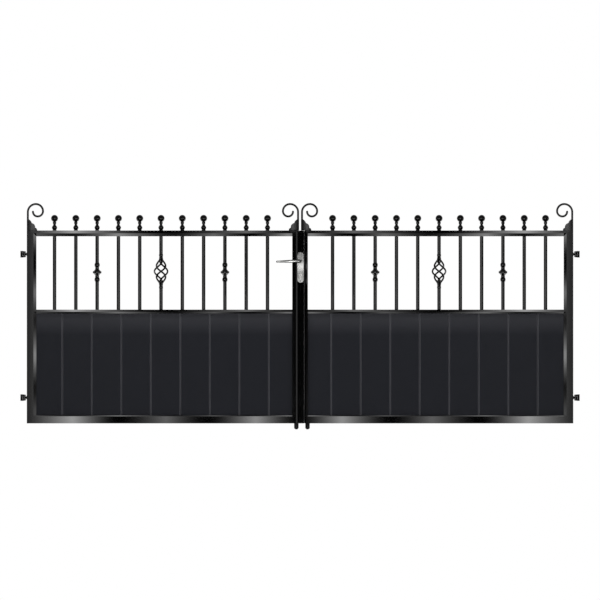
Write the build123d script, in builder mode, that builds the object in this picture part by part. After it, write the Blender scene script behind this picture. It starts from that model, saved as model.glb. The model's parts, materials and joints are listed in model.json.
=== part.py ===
"""Double-leaf aluminium driveway gate: boarded below, round bars with ornaments above.

Millimetres. +X runs along the gate to the right as seen from the street, +Y points to the back
and +Z is up. The origin is the centre of the flat post face of the lower left hinge fork.
Heights of the leaves are measured from the gate's bottom edge.
"""

import os
from math import cos, pi, radians, sin

from build123d import *

# Whole gate
gate_width = 3000.0  # between the outer faces of the two hinge stiles
leaf_height = 1059.0  # bottom edge to the top of the top rail
frame_depth = 40.0
tube_wall = 3.0
overrun = 2.0  # how far a cut runs past the face it leaves
weld_gap = 0.1  # between round pieces that are fixed to each other
slide_gap = 0.3  # between pieces that slide into each other

# Hinges
hinge_reach = 35.0  # post face to the hinge stile
lower_hinge_height = 141.5
upper_hinge_drop = 130.5  # leaf's top to the upper hinge
fork_height = 36.0
fork_plate_thickness = 9.0
fork_nose_height = 27.0
fork_width = 18.0
pin_offset = 21.0  # post face to the pin's axis
pin_diameter = 10.0
pin_length = 30.0
pin_seat_gap = 0.03
pin_running_gap = 0.06
eye_height = 14.0
eye_end_gap = 0.4  # between the eye and each ear of the fork
eye_back_gap = 1.0
eye_shank_diameter = 12.0
eye_flange_diameter = 18.0
eye_flange_thickness = 3.0
eye_stub_length = 12.0  # of the shank inside the stile
post_hole_diameter = 6.8
post_hole_spacing = 23.0
post_hole_depth = 9.0

# Frame of a leaf
hinge_stile_width = 52.5
meeting_half_width = 42.75  # gate's middle to the inner face of either meeting stile
top_rail_height = 32.0
mid_rail_drop = 434.5  # leaf's top to the mid rail's top
mid_rail_height = 21.0
bottom_rail_height = 43.0
bevel_depth = 8.0  # of all bevels but the bottom rail's
stile_bevel = 16.0
top_rail_bevel = 16.5
mid_rail_bevel = 9.0
bottom_rail_bevel = 4.0
bottom_rail_bevel_depth = 2.0
chamber_web = 2.5  # between the two chambers of a bevelled tube
board_channel_depth = 8.0

# Meeting stiles, lock strip and seal, seen from the gate's middle
left_meeting_edge = -10.0
strip_cover_edge = -22.0
strip_bevel = 7.5
strip_edge = 21.5
strip_cover_thickness = 6.0
strip_drop = 5.0  # strip top below the top rail, to pass under the other leaf's bracket
right_meeting_edge = 27.0
right_meeting_bevel = 6.0
meeting_seal_depth = 10.0
meeting_seal_gap = 0.5
meeting_seal_end = 1.0

# Boards
board_count = 9
first_board_width = 142.5  # in view, beside the hinge stile
last_board_width = 128.25  # in view, beside the meeting stile
board_thickness = 16.0
board_chamfer = 4.6
board_wall = 1.8
board_chambers = 3
tongue_length = 6.0
tongue_thickness = 5.0
channel_side_gap = 0.4
channel_end_gap = 1.0

# Bars and their ornaments
bar_count = 11
bar_diameter = 20.0
bar_wall = 2.0
first_bar_gap = 99.75  # hinge stile to the first bar's axis
last_bar_gap = 135.85  # last bar's axis to the meeting stile
basket_bar_index = 5
collar_bar_index = 2  # counted from either end
collar_height_share = 0.5095  # of the upper opening's height
collar_disc_diameter = 48.6
collar_disc_rim = 10.5
collar_disc_half_height = 17.0
collar_sleeve_diameter = 21.6
collar_ring_diameter = 29.6
collar_ring_end_diameter = 23.0
collar_ring_height = 23.0
collar_ring_offset = 40.0
collar_ring_flat_share = 0.4  # of the ring's height
basket_height_share = 0.5215  # of the upper opening's height
basket_length = 164.0
basket_radius = 36.0
basket_end_radius = 5.0
basket_end_lap = 4.0
basket_strand_diameter = 9.2
basket_strands = 4
basket_twist = 345.0  # degrees from end to end
basket_fullness = 1.7  # power of the cosine that gives the basket its waist
basket_spans = 14
strand_sides = 6

# Ball finials
finial_height = 86.0
finial_sides = 10
finial_bead_diameter = 29.4
finial_bead_height_share = 0.19
finial_neck_diameter = 14.4
finial_neck_height_share = 0.38
finial_ring_diameter = 19.4
finial_ring_height_shares = (0.445, 0.52)
finial_ring_bevel_share = 0.025
finial_ball_diameter = 39.2
finial_ball_levels = 6
finial_ball_lowest_angle = -64.0
finial_ball_highest_angle = 78.0

# Scrolls and their brackets
scroll_diameter = 11.6
scroll_stem_rise = 40.0  # stem above its bracket
scroll_radii = (44.0, 39.0, 29.0, 26.0)
scroll_gap = 5.0  # gate's middle to the nearest scroll stem
bracket_width = 57.0
bracket_height = 61.0
bracket_step_shares = ((0.17, 1.0), (0.53, 0.6), (0.78, 0.25), (1.0, 0.0))
bracket_bulge_share = 0.2  # of each lobe's chord
bracket_thicknesses = (20.0, 16.0, 12.0)

# Lock, handles and cylinder
plate_offset = 2.5  # gate's middle to the plates' middle
plate_height = 171.0
plate_width = 38.0
plate_thickness = 8.0
plate_edge = 2.0
plate_drop = 203.0  # leaf's top to the plates' middle
lever_rise = 34.5  # spindle above the plates' middle
cylinder_fall = 43.5  # cylinder below the plates' middle
spindle_diameter = 10.0
spindle_running_gap = 0.08
lever_neck_diameter = 20.0
lever_neck_length = 34.0
lever_face_gap = 0.5
lever_length = 134.0
lever_root_diameter = 19.0
lever_tip_diameter = 12.0
lever_tip_drop = 3.0
lever_thickness = 13.0
lever_edge = 3.0
cylinder_diameter = 17.0
cylinder_web_width = 10.0
cylinder_drop = 20.0
cylinder_proud = 2.0

# Drop bolts
bolt_diameter = 25.0
bolt_end_round_share = 0.88  # of the rod's radius
bolt_reach = 33.0  # below the gate's bottom edge
bolt_top = 425.0
left_bolt_offset = -20.3
right_bolt_offset = 41.0
guide_width = 29.0
guide_height = 30.0
guide_foot = 4.0
guide_bolt_stand = 6.0  # frame's back face to the bolt's nearest side
guide_running_gap = 0.1
lower_guide_bottom = 60.0
upper_guide_bottom = 330.0
bolt_handle_diameter = 12.0
bolt_handle_length = 52.0
bolt_handle_gap = 0.3
bolt_handle_round = 4.0

# Places that follow from the sizes above
middle_x = hinge_reach + gate_width / 2
half_depth = frame_depth / 2
bottom_z = -lower_hinge_height
top_z = bottom_z + leaf_height
mid_top_z = top_z - mid_rail_drop
mid_bottom_z = mid_top_z - mid_rail_height
low_top_z = bottom_z + bottom_rail_height
high_bottom_z = top_z - top_rail_height
stile_x = hinge_reach + hinge_stile_width
meeting_x = middle_x - meeting_half_width
depth_span = (-half_depth, half_depth)
upper_z = (mid_top_z, high_bottom_z)
lower_z = (low_top_z, mid_bottom_z)
rail_x = (stile_x, meeting_x)
upper_height = high_bottom_z - mid_top_z
hinge_spacing = leaf_height - lower_hinge_height - upper_hinge_drop
bar_pitch = (meeting_x - last_bar_gap - stile_x - first_bar_gap) / (bar_count - 1)
bar_xs = [stile_x + first_bar_gap + index * bar_pitch for index in range(bar_count)]
middle_plane = Plane.YZ.offset(middle_x)
standing = (Align.CENTER, Align.CENTER, Align.MIN)


def span_box(x_span, y_span, z_span, mode=Mode.ADD):
    """Add or cut a box between the low and high ends given for X, Y and Z."""
    spans = (x_span, y_span, z_span)
    with Locations(tuple((low + high) / 2 for low, high in spans)):
        Box(*(high - low for low, high in spans), mode=mode)


def span_rectangle(x_span, z_span):
    """Draw a rectangle between the low and high ends given for a sketch's two axes."""
    with Locations(((x_span[0] + x_span[1]) / 2, (z_span[0] + z_span[1]) / 2)):
        Rectangle(x_span[1] - x_span[0], z_span[1] - z_span[0])


def opening_bevel(z_span, left, above):
    """Tapered plug of a frame opening, front and back, that bevels the stile and the rail above."""
    slope_reach = (bevel_depth + overrun) / bevel_depth
    with BuildPart() as plug:
        with BuildSketch(Plane.XZ.offset(half_depth - bevel_depth)):
            span_rectangle(rail_x, z_span)
        with BuildSketch(Plane.XZ.offset(half_depth + overrun)):
            span_rectangle(
                (stile_x - left * slope_reach, meeting_x),
                (z_span[0], z_span[1] + above * slope_reach),
            )
        loft()
        mirror(about=Plane.XZ)
    return plug.part


def right_copy(piece):
    """The right leaf's mirror image of a left piece."""
    with BuildPart() as copy:
        mirror(piece, about=middle_plane)
    return copy.part


def copies_at(piece, *places):
    """One piece repeated at several places."""
    with BuildPart() as group:
        with Locations(*places):
            add(piece)
    return group.part


upper_bevel = opening_bevel(upper_z, stile_bevel, top_rail_bevel)
lower_bevel = opening_bevel(lower_z, stile_bevel, mid_rail_bevel)
bevel_half_depth = half_depth - bevel_depth
wide_chamber_y = (tube_wall - half_depth, half_depth - tube_wall)
nose_chamber_y = (tube_wall - bevel_half_depth, bevel_half_depth - tube_wall)
stile_z = (bottom_z, top_z)
stile_chamber_z = (bottom_z - overrun, top_z - tube_wall)
rail_chamber_x = (stile_x - overrun, meeting_x + overrun)
hinge_zs = (0, hinge_spacing)
eye_hole_radius = eye_shank_diameter / 2 + weld_gap

# Hinge stile: two chambers, bevelled towards both openings
with BuildPart() as hinge_stile:
    span_box((hinge_reach, stile_x), depth_span, stile_z)
    add(upper_bevel, mode=Mode.SUBTRACT)
    add(lower_bevel, mode=Mode.SUBTRACT)
    flat_end = stile_x - stile_bevel
    span_box((hinge_reach + tube_wall, flat_end), wide_chamber_y, stile_chamber_z, Mode.SUBTRACT)
    nose_x = (flat_end + chamber_web, stile_x - tube_wall)
    span_box(nose_x, nose_chamber_y, stile_chamber_z, Mode.SUBTRACT)
    with BuildSketch(Plane.YZ.offset(hinge_reach - overrun)):
        with Locations(*((0, z) for z in hinge_zs)):
            Circle(eye_hole_radius)
    extrude(amount=tube_wall + 2 * overrun, mode=Mode.SUBTRACT)

# Top rail: flat upper half, bevelled lower half
with BuildPart() as top_rail:
    span_box(rail_x, depth_span, (high_bottom_z, top_z))
    add(upper_bevel, mode=Mode.SUBTRACT)
    flat_bottom_z = high_bottom_z + top_rail_bevel
    flat_z = (flat_bottom_z + chamber_web / 2, top_z - tube_wall)
    span_box(rail_chamber_x, wide_chamber_y, flat_z, Mode.SUBTRACT)
    nose_z = (high_bottom_z + tube_wall, flat_bottom_z - chamber_web / 2)
    span_box(rail_chamber_x, nose_chamber_y, nose_z, Mode.SUBTRACT)

# Mid rail: a chamber over the channel that holds the boards' upper ends
channel_half = board_thickness / 2 + channel_side_gap
channel_y = (-channel_half, channel_half)
with BuildPart() as mid_rail:
    span_box(rail_x, depth_span, (mid_bottom_z, mid_top_z))
    add(lower_bevel, mode=Mode.SUBTRACT)
    channel_top_z = mid_bottom_z + board_channel_depth
    span_box(rail_chamber_x, channel_y, (mid_bottom_z - overrun, channel_top_z), Mode.SUBTRACT)
    chamber_z = (channel_top_z + chamber_web, mid_top_z - tube_wall)
    span_box(rail_chamber_x, wide_chamber_y, chamber_z, Mode.SUBTRACT)

# Bottom rail: shallow bevels and a chamber under the channel that holds the boards' lower ends
with BuildPart() as bottom_rail:
    with BuildSketch(Plane.YZ.offset(rail_x[0])):
        with BuildLine():
            bevel_bottom_z = low_top_z - bottom_rail_bevel
            crown_half = half_depth - bottom_rail_bevel_depth
            Polyline(
                (-half_depth, bottom_z),
                (half_depth, bottom_z),
                (half_depth, bevel_bottom_z),
                (crown_half, low_top_z),
                (-crown_half, low_top_z),
                (-half_depth, bevel_bottom_z),
                close=True,
            )
        make_face()
    extrude(amount=rail_x[1] - rail_x[0])
    channel_bottom_z = low_top_z - board_channel_depth
    span_box(rail_chamber_x, channel_y, (channel_bottom_z, low_top_z + overrun), Mode.SUBTRACT)
    chamber_z = (bottom_z + tube_wall, channel_bottom_z - tube_wall)
    span_box(rail_chamber_x, wide_chamber_y, chamber_z, Mode.SUBTRACT)

# Left meeting stile
left_meeting_x = middle_x + left_meeting_edge
with BuildPart() as left_meeting_stile:
    span_box((meeting_x, left_meeting_x), depth_span, stile_z)
    chamber_x = (meeting_x + tube_wall, left_meeting_x - tube_wall)
    span_box(chamber_x, wide_chamber_y, stile_chamber_z, Mode.SUBTRACT)

# Right meeting stile: narrow, with a bevelled front edge beside the lock strip
right_meeting_x = middle_x + right_meeting_edge
right_rail_x = middle_x + meeting_half_width
with BuildPart() as right_meeting_stile:
    with BuildSketch(Plane.XY.offset(bottom_z)):
        with BuildLine():
            Polyline(
                (right_meeting_x, half_depth),
                (right_meeting_x, right_meeting_bevel - half_depth),
                (right_meeting_x + right_meeting_bevel, -half_depth),
                (right_rail_x, -half_depth),
                (right_rail_x, half_depth),
                close=True,
            )
        make_face()
    extrude(amount=leaf_height)
    chamber_x = (right_meeting_x + tube_wall, right_rail_x - tube_wall)
    chamber_y = (right_meeting_bevel + tube_wall - half_depth, half_depth - tube_wall)
    span_box(chamber_x, chamber_y, stile_chamber_z, Mode.SUBTRACT)

# Rubber seal on the right meeting stile, just short of the lock strip
strip_x = middle_x + strip_edge
with BuildPart() as meeting_seal:
    seal_x = (strip_x + meeting_seal_gap, right_meeting_x)
    seal_y = (-meeting_seal_depth / 2, meeting_seal_depth / 2)
    span_box(seal_x, seal_y, (bottom_z + meeting_seal_end, top_z - meeting_seal_end))

# Boards: hollow tongue-and-groove planks with a V where they meet and square sides at the stiles
board_half = board_thickness / 2
board_z = (low_top_z - board_channel_depth + channel_end_gap, channel_top_z - channel_end_gap)
first_seam_x = stile_x + first_board_width
last_seam_x = meeting_x - last_board_width
board_pitch = (last_seam_x - first_seam_x) / (board_count - 2)
seams = [first_seam_x + board_pitch * index for index in range(board_count - 1)]
board_edges = [stile_x, *seams, meeting_x]
tongue_half = tongue_thickness / 2
slot_half = tongue_half + slide_gap
slot_depth = tongue_length + slide_gap
with BuildPart() as boards:
    for left_edge, right_edge in zip(board_edges, board_edges[1:]):
        has_slot = left_edge != board_edges[0]
        has_tongue = right_edge != board_edges[-1]
        low_x = left_edge + slide_gap / 2 if has_slot else left_edge
        high_x = right_edge - slide_gap / 2 if has_tongue else right_edge
        tongue_side = [
            (high_x - board_chamfer, -board_half),
            (high_x, board_chamfer - board_half),
            (high_x, -tongue_half),
            (high_x + tongue_length, -tongue_half),
        ]
        slot_side = [
            (low_x + board_chamfer, board_half),
            (low_x, board_half - board_chamfer),
            (low_x, slot_half),
            (low_x + slot_depth, slot_half),
        ]
        high_side = tongue_side if has_tongue else [(high_x, -board_half)]
        low_side = slot_side if has_slot else [(low_x, board_half)]
        outline = [
            *high_side,
            *((x, -y) for x, y in reversed(high_side)),
            *low_side,
            *((x, -y) for x, y in reversed(low_side)),
        ]
        with BuildSketch(Plane.XY.offset(board_z[0])):
            with BuildLine():
                Polyline(*outline, close=True)
            make_face()
            first_x = low_x + slot_depth + board_wall
            last_x = high_x - board_chamfer - board_wall
            chamber_pitch = (last_x - first_x + board_wall) / board_chambers
            chamber_size = (chamber_pitch - board_wall, board_thickness - 2 * board_wall)
            with Locations(*((first_x + chamber_pitch * k, 0) for k in range(board_chambers))):
                Rectangle(*chamber_size, align=(Align.MIN, Align.CENTER), mode=Mode.SUBTRACT)
        extrude(amount=board_z[1] - board_z[0])

# Plain round bars
bar_radius = bar_diameter / 2
plain_bar_places = [(x, 0, mid_top_z) for k, x in enumerate(bar_xs) if k != basket_bar_index]
with BuildPart() as bars:
    with Locations(*plain_bar_places):
        Cylinder(bar_radius, upper_height, align=standing)
        Cylinder(bar_radius - bar_wall, upper_height, align=standing, mode=Mode.SUBTRACT)

# Cast collar on a bar: a disc between two barrel rings on one sleeve
collar_bore = bar_radius + weld_gap
sleeve_radius = collar_sleeve_diameter / 2
ring_radius = collar_ring_diameter / 2
ring_end_radius = collar_ring_end_diameter / 2
ring_low = collar_ring_offset - collar_ring_height / 2
ring_high = collar_ring_offset + collar_ring_height / 2
ring_flat_half = collar_ring_height * collar_ring_flat_share / 2
disc_radius = collar_disc_diameter / 2
with BuildPart() as collar:
    with BuildSketch(Plane.XZ):
        with BuildLine():
            Polyline(
                (collar_bore, 0),
                (disc_radius, 0),
                (disc_radius, collar_disc_rim / 2),
                (sleeve_radius, collar_disc_half_height),
                (sleeve_radius, ring_low),
                (ring_end_radius, ring_low),
                (ring_radius, collar_ring_offset - ring_flat_half),
                (ring_radius, collar_ring_offset + ring_flat_half),
                (ring_end_radius, ring_high),
                (collar_bore, ring_high),
                close=True,
            )
        make_face()
        mirror(about=Plane.XZ)
    revolve(axis=Axis.Z)
collar_z = mid_top_z + upper_height * collar_height_share
collar_xs = (bar_xs[collar_bar_index], bar_xs[-1 - collar_bar_index])
bar_collars = copies_at(collar.part, *((x, 0, collar_z) for x in collar_xs))


def strand_point(turn, share):
    """Point on a basket strand, from -1 at its lower end to 1 at its upper end."""
    swell = max(cos(pi / 2 * share), 0) ** basket_fullness
    radius = basket_end_radius + (basket_radius - basket_end_radius) * swell
    angle = radians(turn + basket_twist / 2 * share)
    return Vector(radius * cos(angle), radius * sin(angle), basket_length / 2 * share)


# Basket bar: four twisted strands that swell out between two bar ends
basket_z = mid_top_z + upper_height * basket_height_share
basket_place = Vector(bar_xs[basket_bar_index], 0, basket_z)
bar_end = basket_length / 2 - basket_end_lap
tangent_step_share = 0.01
with BuildPart() as basket_bar:
    for strand in range(basket_strands):
        turn = 360 / basket_strands * strand
        for station in range(basket_spans + 1):
            share = 2 * station / basket_spans - 1
            point = strand_point(turn, share)
            ahead = strand_point(turn, min(share + tangent_step_share, 1))
            behind = strand_point(turn, max(share - tangent_step_share, -1))
            outward = Vector(point.X, point.Y, 0)
            section = Plane(basket_place + point, x_dir=outward, z_dir=ahead - behind)
            with BuildSketch(section):
                RegularPolygon(basket_strand_diameter / 2, strand_sides)
        loft(ruled=True)
    with Locations((basket_place.X, 0, mid_top_z)):
        Cylinder(bar_radius, basket_z - bar_end - mid_top_z, align=standing)
    with Locations((basket_place.X, 0, basket_z + bar_end)):
        Cylinder(bar_radius, high_bottom_z - basket_z - bar_end, align=standing)

# Turned ball finial: bead, neck, ring and ball
ball_radius = finial_ball_diameter / 2
ball_middle = finial_height - ball_radius
neck_radius = finial_neck_diameter / 2
finial_ring_radius = finial_ring_diameter / 2
finial_profile = [
    (0, bar_radius),
    (finial_bead_height_share * finial_height, finial_bead_diameter / 2),
    (finial_neck_height_share * finial_height, neck_radius),
]
for side, height_share in zip((-1, 1), finial_ring_height_shares):
    bevel_share = height_share + side * finial_ring_bevel_share
    edge = (height_share * finial_height, finial_ring_radius)
    root = (bevel_share * finial_height, neck_radius)
    finial_profile += [root, edge] if side < 0 else [edge, root]
for level in range(finial_ball_levels):
    rise = (finial_ball_highest_angle - finial_ball_lowest_angle) / (finial_ball_levels - 1)
    angle = radians(finial_ball_lowest_angle + rise * level)
    finial_profile.append((ball_middle + ball_radius * sin(angle), ball_radius * cos(angle)))
with BuildPart() as finial:
    for height, radius in finial_profile:
        with BuildSketch(Plane.XY.offset(height)):
            RegularPolygon(radius, finial_sides)
    loft(ruled=True)
ball_finials = copies_at(finial.part, *((x, 0, top_z) for x in bar_xs))

# Outer scroll of the left leaf: a stem that curls inwards in arcs of falling radius
scroll_radius = scroll_diameter / 2
leaf_plane = Plane.YZ.offset((hinge_reach + middle_x - scroll_gap) / 2)
stem_x = hinge_reach + scroll_radius
bracket_top_z = top_z + bracket_height
with BuildPart() as scrolls:
    with BuildLine(Plane.XZ) as scroll_path:
        stem = Line((stem_x, bracket_top_z), (stem_x, bracket_top_z + scroll_stem_rise))
        curl = stem
        for radius in scroll_radii:
            curl = JernArc(curl @ 1, curl % 1, radius, -90)
    with BuildSketch(Plane.XY.offset(bracket_top_z)):
        with Locations((stem_x, 0)):
            Circle(scroll_radius)
    sweep(path=scroll_path.wire())
    mirror(about=leaf_plane)

# Stepped bracket under a scroll: three rounded lobes, each thinner than the one before
bracket_points = [
    (hinge_reach + across * bracket_width, top_z + up * bracket_height)
    for across, up in bracket_step_shares
]
with BuildPart() as scroll_brackets:
    for lobes, thickness in enumerate(bracket_thicknesses, start=1):
        with BuildSketch(Plane.XZ):
            with BuildLine():
                Line((hinge_reach, top_z), (hinge_reach, bracket_top_z))
                Line((hinge_reach, bracket_top_z), bracket_points[0])
                for start, end in zip(bracket_points[:lobes], bracket_points[1:]):
                    chord = Vector(*end) - Vector(*start)
                    bulge = Vector(-chord.Y, chord.X) * bracket_bulge_share
                    ThreePointArc(start, (Vector(*start) + Vector(*end)) / 2 + bulge, end)
                foot = (bracket_points[lobes][0], top_z)
                if lobes < len(bracket_thicknesses):
                    Line(bracket_points[lobes], foot)
                Line(foot, (hinge_reach, top_z))
            make_face()
        extrude(amount=thickness / 2, both=True)
    mirror(about=leaf_plane)

# Hinge fork: a post plate that narrows into two ears, with the pin's bore through them
fork_half = fork_height / 2
nose_half = fork_nose_height / 2
nose_x = pin_offset + fork_width / 2
slot_half_height = eye_height / 2 + eye_end_gap
with BuildPart() as hinge_fork:
    with BuildSketch(Plane.XZ):
        with BuildLine():
            shoulder = (fork_plate_thickness, fork_half)
            Polyline((0, 0), (0, fork_half), shoulder)
            TangentArc(shoulder, (nose_x, nose_half), tangent=(1, 0))
            Line((nose_x, nose_half), (nose_x, 0))
            Line((nose_x, 0), (0, 0))
        make_face()
        mirror(about=Plane.XZ)
    extrude(amount=fork_width / 2, both=True)
    with BuildSketch(Plane.XY.offset(-fork_height)):
        with Locations((pin_offset / 2, 0)):
            Rectangle(pin_offset, fork_width)
        with Locations((pin_offset, 0)):
            Circle(fork_width / 2)
    extrude(amount=2 * fork_height, mode=Mode.INTERSECT)
    slot_x = (pin_offset - fork_width / 2 - eye_back_gap, nose_x + overrun)
    slot_z = (-slot_half_height, slot_half_height)
    span_box(slot_x, (-fork_width, fork_width), slot_z, Mode.SUBTRACT)
    with Locations((pin_offset, 0, 0)):
        Cylinder(pin_diameter / 2 + pin_seat_gap, 2 * fork_height, mode=Mode.SUBTRACT)
    with BuildSketch(Plane.YZ):
        with GridLocations(0, post_hole_spacing, 1, 2):
            Circle(post_hole_diameter / 2)
    extrude(amount=post_hole_depth, mode=Mode.SUBTRACT)

# Hinge pins of the left leaf
with BuildPart() as hinge_pins:
    with Locations(*((pin_offset, 0, z) for z in hinge_zs)):
        Cylinder(pin_diameter / 2, pin_length)

# Hinge eye: a ring on a flanged shank that enters the stile
with BuildPart() as hinge_eye:
    with Locations((pin_offset, 0, 0)):
        Cylinder(fork_width / 2, eye_height)
    with BuildSketch(Plane.YZ.offset(pin_offset)):
        Circle(eye_shank_diameter / 2)
    extrude(amount=hinge_reach - pin_offset + eye_stub_length)
    with BuildSketch(Plane.YZ.offset(hinge_reach - eye_flange_thickness)):
        Circle(eye_flange_diameter / 2)
    extrude(amount=eye_flange_thickness)
    with Locations((pin_offset, 0, 0)):
        Cylinder(pin_diameter / 2 + pin_running_gap, eye_height, mode=Mode.SUBTRACT)
hinge_eyes = copies_at(hinge_eye.part, *((0, 0, z) for z in hinge_zs))

# Lock: outlines shared by the strip, the plates and the pieces that pass through them
plate_x = middle_x + plate_offset
plate_z = top_z - plate_drop
lever_z = plate_z + lever_rise
cylinder_z = plate_z - cylinder_fall
strip_front_y = -half_depth - strip_cover_thickness
plate_front_y = strip_front_y - plate_thickness
plate_back_y = half_depth + plate_thickness
spindle_bore = spindle_diameter / 2 + spindle_running_gap


def cylinder_outline(gap):
    """Keyhole-shaped outline of the lock cylinder, with a gap all round it."""
    with Locations((plate_x, cylinder_z)):
        Circle(cylinder_diameter / 2 + gap)
    with Locations((plate_x, cylinder_z - cylinder_drop / 2)):
        SlotCenterToCenter(cylinder_drop, cylinder_web_width + 2 * gap, rotation=90)


# What the spindle's bore and the cylinder's hole take out, from front to back
with BuildPart() as lock_cutter:
    with BuildSketch(Plane.XZ.offset(-plate_back_y - overrun)):
        with Locations((plate_x, lever_z)):
            Circle(spindle_bore)
        cylinder_outline(weld_gap)
    extrude(amount=plate_back_y - plate_front_y + 2 * overrun)

# Lock strip: the lock's case with a bevelled cover that laps the left meeting stile
strip_top_z = top_z - strip_drop
cover_x = middle_x + strip_cover_edge
with BuildPart() as lock_strip:
    with BuildSketch(Plane.XY.offset(bottom_z)):
        with BuildLine():
            Polyline(
                (cover_x, -half_depth),
                (cover_x + strip_bevel, strip_front_y),
                (strip_x, strip_front_y),
                (strip_x, half_depth),
                (left_meeting_x, half_depth),
                (left_meeting_x, -half_depth),
                close=True,
            )
        make_face()
    extrude(amount=strip_top_z - bottom_z)
    case_x = (left_meeting_x + tube_wall, strip_x - tube_wall)
    case_z = (bottom_z - overrun, strip_top_z - tube_wall)
    span_box(case_x, wide_chamber_y, case_z, Mode.SUBTRACT)
    add(lock_cutter.part, mode=Mode.SUBTRACT)


def handle_plate(face_y, outward):
    """Round-ended plate on the lock strip, front (outward 1) or back (outward -1)."""
    with BuildPart() as plate:
        with BuildSketch(Plane.XZ.offset(-face_y)):
            with Locations((plate_x, plate_z)):
                SlotOverall(plate_height, plate_width, rotation=90)
        extrude(amount=outward * plate_thickness)
        outer_face = plate.faces().sort_by(Axis.Y)[0 if outward > 0 else -1]
        chamfer(outer_face.edges(), length=plate_edge)
        add(lock_cutter.part, mode=Mode.SUBTRACT)
    return plate.part


front_handle_plate = handle_plate(strip_front_y, 1)
rear_handle_plate = handle_plate(half_depth, -1)

# Lock cylinder, a little proud of both plates
with BuildPart() as lock_cylinder:
    with BuildSketch(Plane.XZ.offset(-plate_back_y - cylinder_proud)):
        cylinder_outline(0)
    extrude(amount=plate_back_y - plate_front_y + 2 * cylinder_proud)


def lever_grip(face_y, outward):
    """Neck and tapered grip of a lever, standing off a plate's face."""
    grip_y = face_y - outward * (lever_face_gap + lever_neck_length)
    with BuildPart() as lever:
        with BuildSketch(Plane.XZ.offset(-grip_y)):
            with Locations((plate_x, lever_z)):
                Circle(lever_root_diameter / 2)
            with Locations((plate_x - lever_length + lever_tip_diameter / 2, lever_z - lever_tip_drop)):
                Circle(lever_tip_diameter / 2)
            make_hull()
        extrude(amount=outward * lever_thickness)
        fillet(lever.edges().filter_by(Plane.XZ), radius=lever_edge)
        with BuildSketch(Plane.XZ.offset(-grip_y)):
            with Locations((plate_x, lever_z)):
                Circle(lever_neck_diameter / 2)
        extrude(amount=-outward * lever_neck_length)
    return lever.part


# Front lever with the spindle that carries both levers
front_grip = lever_grip(plate_front_y, 1)
rear_grip = lever_grip(plate_back_y, -1)
spindle_front_y = plate_front_y - lever_face_gap
spindle_back_y = plate_back_y + lever_face_gap
with BuildPart() as front_lever:
    add(front_grip)
    with BuildSketch(Plane.XZ.offset(-spindle_back_y)):
        with Locations((plate_x, lever_z)):
            Circle(spindle_diameter / 2)
    extrude(amount=spindle_back_y - spindle_front_y)

# Drop bolts and their guides on the back of the meeting stiles
bolt_radius = bolt_diameter / 2
bolt_y = half_depth + guide_bolt_stand + bolt_radius
guide_bottoms = (bottom_z + lower_guide_bottom, bottom_z + upper_guide_bottom)
handle_z = guide_bottoms[1] + guide_height + bolt_handle_gap + bolt_handle_diameter / 2


def drop_bolt_guides(x):
    """Two bored guides with flat feet on a meeting stile's back."""
    with BuildPart() as guides:
        for z in guide_bottoms:
            with BuildSketch(Plane.XY.offset(z)):
                with Locations((x, half_depth)):
                    Rectangle(guide_width, guide_foot, align=(Align.CENTER, Align.MIN))
                with Locations((x, bolt_y)):
                    Circle(guide_width / 2)
                make_hull()
                with Locations((x, bolt_y)):
                    Circle(bolt_radius + guide_running_gap, mode=Mode.SUBTRACT)
            extrude(amount=guide_height)
    return guides.part


def drop_bolt(x):
    """Round rod with a rounded foot and a handle that rests on the upper guide."""
    with BuildPart() as bolt:
        with Locations((x, bolt_y, bottom_z - bolt_reach)):
            Cylinder(bolt_radius, bolt_reach + bolt_top, align=standing)
        fillet(bolt.edges().group_by(Axis.Z)[0], radius=bolt_radius * bolt_end_round_share)
        with BuildSketch(Plane.XZ.offset(-bolt_y)):
            with Locations((x, handle_z)):
                Circle(bolt_handle_diameter / 2)
        extrude(amount=-bolt_handle_length)
        fillet(bolt.edges().group_by(Axis.Y)[-1], radius=bolt_handle_round)
    return bolt.part


left_bolt_x = middle_x + left_bolt_offset
right_bolt_x = middle_x + right_bolt_offset

# Every piece under its own name
paired = {
    "hinge_stile": hinge_stile.part,
    "top_rail": top_rail.part,
    "mid_rail": mid_rail.part,
    "bottom_rail": bottom_rail.part,
    "boards": boards.part,
    "bars": bars.part,
    "bar_collars": bar_collars,
    "basket_bar": basket_bar.part,
    "ball_finials": ball_finials,
    "scrolls": scrolls.part,
    "scroll_brackets": scroll_brackets.part,
    "hinge_pins": hinge_pins.part,
    "hinge_eyes": hinge_eyes,
    "lower_hinge_fork": hinge_fork.part,
    "upper_hinge_fork": copies_at(hinge_fork.part, (0, 0, hinge_spacing)),
}
pieces = {
    "left_meeting_stile": left_meeting_stile.part,
    "left_lock_strip": lock_strip.part,
    "left_front_handle_plate": front_handle_plate,
    "left_rear_handle_plate": rear_handle_plate,
    "left_lock_cylinder": lock_cylinder.part,
    "left_drop_bolt_guides": drop_bolt_guides(left_bolt_x),
    "left_drop_bolt": drop_bolt(left_bolt_x),
    "front_lever": front_lever.part,
    "rear_lever": rear_grip,
    "right_meeting_stile": right_meeting_stile.part,
    "right_meeting_seal": meeting_seal.part,
    "right_drop_bolt_guides": drop_bolt_guides(right_bolt_x),
    "right_drop_bolt": drop_bolt(right_bolt_x),
}
for name, piece in paired.items():
    pieces[f"left_{name}"] = piece
    pieces[f"right_{name}"] = right_copy(piece)

os.makedirs("parts", exist_ok=True)
for name, piece in pieces.items():
    piece.label = name
    export_step(piece, f"parts/{name}.step")
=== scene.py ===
"""Looks of a double-leaf aluminium driveway gate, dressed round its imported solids.

Metres, in the frame of the solids: +X runs along the gate to the right as seen from the street,
+Y points to the back and +Z is up. The right leaf mirrors the left one across the gate's middle.
"""

import json
import logging
from abc import ABC, abstractmethod
from dataclasses import dataclass
from enum import Enum

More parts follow.
